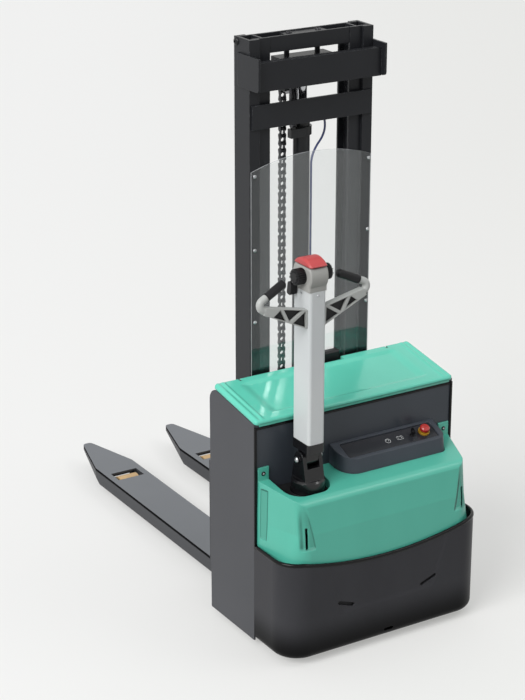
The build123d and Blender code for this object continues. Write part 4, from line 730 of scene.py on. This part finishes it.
lid = {"half": 398, "front": -8, "rear": 269.3, "base": 816.4, "slope": 9, "thick": 13,
       "corner": 14, "round": 7, "tray": 7, "trayOut": 324, "trayIn": 282, "trayFront": 30,
       "trayRear": 238, "trayWall": 16, "ridge": 3.2, "ridges": (387, 366), "ridgeWide": 8.5,
       "ridgeFront": (-6, 14), "ridgeSide": 10, "hinge": 300, "hingeGap": 4.5, "hingeFront": 251.1,
       "guardLow": 0, "guardHigh": 112, "guardFront": 245, "lip": 383, "lipThick": 6, "lipLow": -8,
       "lipHigh": 6, "lipRound": 1.5, "sharp": 40, "rollSteps": (0, 0.5, 1.3, 2.5, 4.2, 7, 10, 14)}


def lidHeight(x, v, inset):
    # upper surface over the lid's own plane: rolled edge, two ridges at each end, sunk tray
    wide = abs(x)
    roll = lid["round"]
    edge = 0 if inset >= roll else roll - sqrt(max(0, roll ** 2 - (roll - inset) ** 2))
    tray = smooth(-wide, -lid["trayOut"], -lid["trayIn"])
    tray *= smooth(v, lid["trayFront"], lid["trayFront"] + lid["trayWall"])
    tray *= smooth(-v, -lid["trayRear"], lid["trayWall"] - lid["trayRear"])
    ends = smooth(v, *lid["ridgeFront"]) * min(1, inset / lid["ridgeSide"])
    ridge = sum(max(0, 1 - ((wide - at) / lid["ridgeWide"]) ** 2) ** 1.5 for at in lid["ridges"])
    return lid["thick"] - edge - tray * lid["tray"] + ridge * lid["ridge"] * ends


def lidLines():
    # where the lid's grid lines run across and along, closest where its surface turns
    half, front, rear, fine = lid["half"], lid["front"], lid["rear"], lid["rollSteps"]
    xs = [half - f for f in fine] + [half - fine[-1] - 2.4 * k for k in range(1, 14)]
    xs += [340, 330] + [lid["trayOut"] - 3 * k for k in range(15)] + [x * 24 for x in range(11)]
    xs += [lid["hinge"] - lid["hingeGap"], lid["hinge"] + lid["hingeGap"]]
    xs = sorted(set(round(x, 2) for x in xs))
    xs = sorted(set([-x for x in xs] + xs + [lid["guardLow"], lid["guardHigh"]]))
    vs = [front + f for f in fine] + [rear - f for f in fine] + [8, 11, 14, 20, 26]
    vs += [lid["trayFront"] + 2 * k for k in range(9)] + [lid["trayRear"] - 2 * k for k in range(9)]
    vs += [60 + 20 * k for k in range(9)] + [lid["hingeFront"], lid["guardFront"]]
    return xs, sorted(set(round(v, 2) for v in vs))


def lidPiece():
    half, front, rear, corner = lid["half"], lid["front"], lid["rear"], lid["corner"]
    xs, vs = lidLines()
    lean = radians(lid["slope"])
    slope = Vector((0, cos(lean), sin(lean)))
    out = Vector((0, -sin(lean), cos(lean)))
    base = Vector((0, 0, lid["base"] * mm))

    def spot(x, v, w):
        return base + (Vector((x, 0, 0)) + slope * v + out * w) * mm

    shape = bmesh.new()
    grid = {}
    for x in xs:
        for v in vs:
            px, pv = x, v
            dx = abs(x) - (half - corner)
            dv = max(front + corner - v, v - (rear - corner))
            inset = min(half - abs(x), v - front, rear - v)
            if dx > 0 and dv > 0:  # round the corner in plan
                reach = max(dx, dv) / hypot(dx, dv)
                px = copysign(half - corner + dx * reach, x)
                pv = front + corner - dv * reach if v < (front + rear) / 2 else rear - corner + dv * reach
            grid[x, v] = shape.verts.new(spot(px, pv, lidHeight(px, pv, inset)))
    for x0, x1 in zip(xs, xs[1:]):
        for v0, v1 in zip(vs, vs[1:]):
            x, v = (x0 + x1) / 2, (v0 + v1) / 2
            hinge = abs(abs(x) - lid["hinge"]) < lid["hingeGap"] and v > lid["hingeFront"]
            guard = lid["guardLow"] < x < lid["guardHigh"] and v > lid["guardFront"]
            if not hinge and not guard:
                shape.faces.new((grid[x0, v0], grid[x1, v0], grid[x1, v1], grid[x0, v1]))
    loose = [vert for vert in shape.verts if not vert.link_faces]
    bmesh.ops.delete(shape, geom=loose, context="VERTS")
    under = bmesh.ops.extrude_face_region(shape, geom=list(shape.faces))["geom"]
    for vert in (g for g in under if isinstance(g, bmesh.types.BMVert)):
        vert.co -= out * (vert.co - base).dot(out)
    middle = (spot(0, front, lid["lipLow"]) + spot(0, front + lid["lipThick"], lid["lipHigh"])) / 2
    sizes = (2 * lid["lip"] * mm, lid["lipThick"] * mm, (lid["lipHigh"] - lid["lipLow"]) * mm)
    roundedBox(shape, middle, sizes, lid["lipRound"] * mm, 3, lean)
    piece = solidPiece("lidMoulding", shape, "battery_lid", "lidGreen", True)
    piece.data.set_sharp_from_angle(angle=radians(lid["sharp"]))
    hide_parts("battery_lid")


# Fork edges, their painted shade

forkEdge = {"centre": 192, "route": ((81, 518), (81, 1426), (21.5, 1650)),  # half width and place along
            "section": ((0.5, 76.5), (0.5, 86.6), (-0.6, 86.6), (-0.6, 76.5))}  # outward and up


def forkShadeStripPiece():
    # black strip painting the shade in the gap under the top plate's edge, on both sides of both forks
    shape = bmesh.new()
    route = [Vector(spot) for spot in forkEdge["route"]]
    straight = Vector((1, 0))
    slanted = Vector((route[2].y - route[1].y, route[1].x - route[2].x)).normalized()
    outward = [straight, (straight + slanted).normalized(), slanted]
    for fork in (-1, 1):
        centre = fork * forkEdge["centre"]
        for side in (-1, 1):
            rings = []
            for spot, out in zip(route, outward):
                corners = [(spot + out * push, z) for push, z in forkEdge["section"]]
                rings.append([shape.verts.new(Vector((centre + side * at.x, at.y, z)) * mm)
                              for at, z in corners])
            skin(shape, rings)
    solidPiece("forkShadeStrips", shape, "carriage", "stripBlack")


# Leak-off hose

hose = {"radius": 3.75, "length": 1.47, "route": [
    (34.3, 350, 1751), (76, 346, 1746), (96, 341, 1660), (24, 325, 1596),
    (20, 320, 1520), (20, 320, 480), (30, 325, 330)]}


def hosePiece():
    curve = bpy.data.curves.new("leakOffHose", "CURVE")
    curve.dimensions = "3D"
    curve.bevel_depth = hose["radius"] * mm
    curve.bevel_resolution = 4
    line = curve.splines.new("NURBS")
    line.points.add(len(hose["route"]) - 1)
    for point, place in zip(line.points, hose["route"]):
        point.co = (*(Vector(place) * mm), 1)
    line.order_u = 3
    line.use_endpoint_u = True
    line.resolution_u = 24
    curve.use_fill_caps = True
    piece = newPiece("leakOffHose", curve, "chassis", "tubeBlue")
    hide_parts("leak_off_tube")


# Bumper rim

rim = {"half": 400, "depth": 212, "corner": 95, "top": 376, "dip": 41, "dipHalf": 330,
       "beadWide": 6.5, "beadHigh": 7.5, "inset": 4.5, "lift": -1, "rear": -2, "sides": 12,
       "cornerSteps": 12, "frontSteps": 60, "sideStep": 20}


def rimHeight(x):
    if abs(x) >= rim["dipHalf"]:
        return rim["top"]
    radius = (rim["dipHalf"] ** 2 + rim["dip"] ** 2) / (2 * rim["dip"])
    return rim["top"] - rim["dip"] + radius - sqrt(radius ** 2 - x ** 2)


def rimPiece():
    # a rounded bead that follows the apron's upper edge round both corners
    half, depth, corner = [rim[key] - rim["inset"] for key in ("half", "depth", "corner")]
    inner, steps, count, step = half - corner, rim["cornerSteps"], rim["frontSteps"], rim["sideStep"]
    left = [(-half, rim["rear"])] + [(-half, -y) for y in range(step, int(depth - corner), step)]
    turns = [pi + k / steps * pi / 2 for k in range(steps + 1)]
    left += [(-inner + corner * cos(a), -depth + corner + corner * sin(a)) for a in turns]
    middle = [(-inner + 2 * inner * k / count, -depth) for k in range(1, count)]
    route = left + middle + [(-x, y) for x, y in reversed(left)]
    spine = [Vector((x, y, rimHeight(x) + rim["lift"])) * mm for x, y in route]
    shape = bmesh.new()
    rings = []
    angles = [2 * pi * s / rim["sides"] for s in range(rim["sides"])]
    for k, spot in enumerate(spine):
        ahead = (spine[min(k + 1, len(spine) - 1)] - spine[max(k - 1, 0)]).normalized()
        out = ahead.cross(Vector((0, 0, 1))).normalized()
        wide, high = out * rim["beadWide"], out.cross(ahead).normalized() * rim["beadHigh"]
        pushes = [wide * cos(a) + high * sin(a) for a in angles]
        rings.append([shape.verts.new(spot + push * mm) for push in pushes])
    skin(shape, rings)
    solidPiece("bumperRim", shape, "chassis", "rimPlastic", True)


# Seals and dark backs

seals = {
    # slot, finish, edge radius, and the low and high corner of each box, in millimetres
    # black edging where the bulkhead meets the side panels and the lid
    "edgeSeals": ("rubber", "rimPlastic", 1.2, [
        ((-400, -5, 372), (-391.4, 0, 806)), ((391.4, -5, 372), (400, 0, 806)),
        ((-391, -3.5, 796), (391, 0, 804))]),
    # plates inside the apron behind its slots
    "slotBacks": ("black_plastic", "matRubber", 0.4, [
        ((-212, -203.6, 160), (-120, -201.6, 232)),
        ((120, -203.6, 160), (212, -201.6, 232))]),
}


def boxPieces():
    for name, (slot, finish, radius, corners) in seals.items():
        shape = bmesh.new()
        for low, high in corners:
            low, high = Vector(low), Vector(high)
            roundedBox(shape, (low + high) / 2 * mm, (high - low) * mm, radius * mm, 2)
        solidPiece(name, shape, "chassis", finish)


# Handle pockets

arm = {"x": -236, "y": -100, "root": 31, "rootZ": 1192, "rootHeight": 64, "reach": 206,
       "cornerZ": 1262, "lowTip": (12, 27), "highTip": (22, 5), "thick": 26, "deep": 10,
       "rib": 2.8, "proud": 1.2, "sunk": 0.4, "pockets": (
           # corners of each pocket: edge of the arm, and share of the way to its tip
           (("high", 0.04), ("low", 0.02), ("low", 0.38)), (("high", 0.08), ("high", 0.62), ("low", 0.42)),
           (("low", 0.46), ("high", 0.66), ("low", 0.82)))}


def pocketPiece():
    # black plates on the floor of the cast pockets, both arms
    tip = Vector((arm["reach"], arm["cornerZ"]))
    root = Vector((arm["root"], arm["rootZ"]))
    rise = Vector((0, arm["rootHeight"] / 2))
    edges = {"low": (root - rise, tip - Vector(arm["lowTip"])),
             "high": (root + rise, tip - Vector(arm["highTip"]))}
    floorY = arm["y"] - arm["thick"] / 2 + arm["deep"]
    shape = bmesh.new()
    for side in (-1, 1):
        for pocket in arm["pockets"]:
            corners = [edges[edge][0].lerp(edges[edge][1], share) for edge, share in pocket]
            sides = [corners[(k + 1) % 3] - corners[k] for k in range(3)]
            lengths = [sides[k].length for k in (1, 2, 0)]
            total = sum(lengths)
            centre = sum((c * l for c, l in zip(corners, lengths)), Vector((0, 0))) / total
            area = abs(sides[0].cross(sides[1])) / 2
            shrink = 1 - arm["rib"] / (2 * area / total)
            spots = [centre + (corner - centre) * shrink for corner in corners]
            rings = []
            for y in (floorY - arm["proud"], floorY + arm["sunk"]):
                rings.append([shape.verts.new(Vector((arm["x"] + side * p.x, y, p.y)) * mm) for p in spots])
            skin(shape, rings)
    solidPiece("handlePocketFloors", shape, "tiller", "blackPlastic")


# Console signs

signs = {"gaugeX": 106, "gaugeRadius": 9.5, "ticks": (30, 60, 90, 120, 150), "tickEnds": (4, 2),
         "needle": ((0, -2.5), (4.5, 3.5)), "cellX": 156, "cellWide": 24, "cellHigh": 13,
         "poleAt": 7, "poleHalf": 2.5, "poleUp": 1.6, "markAt": 6, "markHalf": 2.2,
         "line": 1.5, "proud": 0.25, "sunk": 0.02}


def plateFrame():
    # middle, up-slope and outward directions of the faceplate's upper face
    normal, spot, weight = Vector(), Vector(), 0
    for face in nodes["console_faceplate"].data.polygons:
        if face.normal.z > 0.8:
            normal += face.normal * face.area
            spot += face.center * face.area
            weight += face.area
    normal.normalize()
    return spot / weight, normal.cross(Vector((1, 0, 0))), normal


def signPiece():
    middle, slope, out = plateFrame()
    shape = bmesh.new()
    section = [(1, signs["sunk"]), (1, signs["proud"]), (-1, signs["proud"]), (-1, signs["sunk"])]

    def at(x, y, lift):
        base = middle + slope * (y * mm) + out * (lift * mm)
        return Vector((x * mm, base.y, base.z))

    def stroke(points, closed=False):  # a flat line of even width through points on the plate
        count = len(points)
        rows = []
        for k, (x, y) in enumerate(points):
            before = points[k - 1] if closed or k else points[k]
            after = points[(k + 1) % count] if closed or k < count - 1 else points[k]
            run = Vector((after[0] - before[0], after[1] - before[1])).normalized()
            side = Vector((-run.y, run.x)) * (signs["line"] / 2)
            rows.append([shape.verts.new(at(x + way * side.x, y + way * side.y, lift))
                         for way, lift in section])
        skin(shape, rows, closed)

    gx, gr = signs["gaugeX"], signs["gaugeRadius"]

    def onDial(radius, degrees):
        turn = radians(degrees)
        return (gx + radius * cos(turn), radius * sin(turn))

    stroke([onDial(gr, degrees) for degrees in range(0, 360, 10)], True)
    for degrees in signs["ticks"]:
        stroke([onDial(gr - inset, degrees) for inset in signs["tickEnds"]])
    stroke([(gx + x, y) for x, y in signs["needle"]])
    cx, cw, ch = signs["cellX"], signs["cellWide"] / 2, signs["cellHigh"] / 2
    stroke([(cx - cw, -ch), (cx + cw, -ch), (cx + cw, ch), (cx - cw, ch)], True)
    pole, mark = signs["poleHalf"], signs["markHalf"]
    for side in (-1, 1):  # two poles on the cell, a minus and the bar of a plus
        stroke([(cx + side * signs["poleAt"] + x, ch + signs["poleUp"]) for x in (-pole, pole)])
        stroke([(cx + side * signs["markAt"] + x, 0) for x in (-mark, mark)])
    stroke([(cx + signs["markAt"], y) for y in (-mark, mark)])
    solidPiece("consoleSigns", shape, "chassis", "iconInk")


# Camera, floor and light

studio = {"place": (-3.4949, -5.1106, 3.3490), "azimuth": -31.47, "elevation": 20.81, "focalPixels": 1991.6,
          "imageHeight": 700, "sensor": 36, "clip": 500, "sky": (0.975, 0.985, 1, 1),
          "level": {"From Min": -0.05, "From Max": 0.85, "To Min": 0.33, "To Max": 0.76},
          "backdrop": (242, 242, 240), "sun": 2, "sunFrom": (-0.78, -0.27, 0.62), "sunAngle": 35,
          "floorHalf": 160, "floorGreys": (0.78, 0.70, 0.18), "warmth": 0.985, "glow": 0.43,
          "pool": (-1.5, 0.9), "poolReach": (1.2, 2.7), "right": (0.853, 0.522), "rightReach": (-2.4, 2),
          "lightSide": (250, 250, 249), "darkSide": (232, 232, 228)}
boxes = {
    # soft boxes: place, aim, width and height in metres, power
    "sideBox": ((-4.5, -0.6, 3.2), (0, 0, 0.7), 1.2, 1.2, 30),
    "rearBox": ((2.29, 3.50, 4.05), (-0.28, 0.13, 0.84), 0.16, 0.20, 1.6),
    "topBox": ((2.5, -2.2, 4.6), (0, -0.1, 0.45), 2.4, 0.6, 26),
}


def seenRays(graph):  # 1 for what the camera, a mirror or glass looks at
    path = graph.node("LightPath", output="Is Camera Ray")
    through = path.beside("Is Transmission Ray")
    return path.sum("MAXIMUM", path.beside("Is Glossy Ray")).sum("MAXIMUM", through)


def setCamera():
    lens = bpy.data.cameras.new("photoCamera")
    lens.sensor_fit = "VERTICAL"
    lens.sensor_height = studio["sensor"]
    lens.lens = studio["sensor"] * studio["focalPixels"] / studio["imageHeight"]
    lens.clip_end = studio["clip"]
    turn = (radians(90 - studio["elevation"]), 0, radians(studio["azimuth"]))
    bpy.context.scene.camera = addObject("photoCamera", lens, studio["place"], turn)


def setFloor():
    # paper floor: pale to look at, and grey far off in the light that it throws back
    mesh = bpy.data.meshes.new("studioFloor")
    half = studio["floorHalf"]
    corners = [(-half, -half, 0), (half, -half, 0), (half, half, 0), (-half, half, 0)]
    mesh.from_pydata(corners, [], [(0, 1, 2, 3)])
    look = Finish("floorPaper")
    across, along, up = look.axes()
    dx, dy = across - studio["pool"][0], along - studio["pool"][1]
    reach = (dx * dx + dy * dy).sum("SQRT")
    path = seenRays(look)
    paper, near, far = [(grey, grey, grey * studio["warmth"], 1) for grey in studio["floorGreys"]]
    bounce = look.blend(look.step(reach, *studio["poolReach"]), near, far)
    paper = look.node("BsdfDiffuse", {}, {"Color": look.blend(path, bounce, paper)})
    right = across * studio["right"][0] - along * studio["right"][1]  # towards the picture's right
    side = look.step(right, *studio["rightReach"])
    # the glow is lighter on the left than on the right: painted fall-off of the light from the left
    glow = look.node("Emission", {}, {
        "Color": look.blend(side, studio["lightSide"], studio["darkSide"]), "Strength": 1})
    share = look.node("MixShader", {}, {0: path * studio["glow"], 1: paper, 2: glow})
    look.node("OutputMaterial", {}, {"Surface": share})
    mesh.materials.append(look.material)
    addObject("studioFloor", mesh)


def setLight():
    world = bpy.data.worlds.new("studioWorld")
    world.use_nodes = True
    world.node_tree.nodes.clear()
    tree = Graph(world.node_tree)
    rise = tree.node("SeparateXYZ", {}, {"Vector": tree.node("TexCoord", output="Generated")}, "Z")
    level = tree.node("MapRange", {"interpolation_type": "SMOOTHSTEP"}, {"Value": rise, **studio["level"]})
    sky = tree.node("Background", {}, {"Color": studio["sky"], "Strength": level})
    paper = tree.node("Background", {}, {"Color": tone(*studio["backdrop"]), "Strength": 1})
    both = tree.node("MixShader", {}, {0: seenRays(tree), 1: sky, 2: paper})
    tree.node("OutputWorld", {}, {"Surface": both})
    bpy.context.scene.world = world

    sun = bpy.data.lights.new("keyLight", "SUN")
    sun.energy, sun.angle = studio["sun"], radians(studio["sunAngle"])
    addObject("keyLight", sun, turn=Vector(studio["sunFrom"]).to_track_quat("Z", "Y").to_euler())
    for name, (place, aim, wide, high, power) in boxes.items():
        light = bpy.data.lights.new(name, "AREA")
        light.shape = "RECTANGLE"
        light.size, light.size_y, light.energy = wide, high, power
        addObject(name, light, place, (Vector(place) - Vector(aim)).to_track_quat("Z", "Y").to_euler())


# Making it all

for make in (chainPieces, screwPieces, thumbPiece, lidPiece, forkShadeStripPiece, hosePiece, rimPiece, boxPieces,
             pocketPiece, signPiece, setCamera, setFloor, setLight):
    make()
    print(make.__name__, "done")
bpy.context.scene.view_settings.view_transform = "Standard"
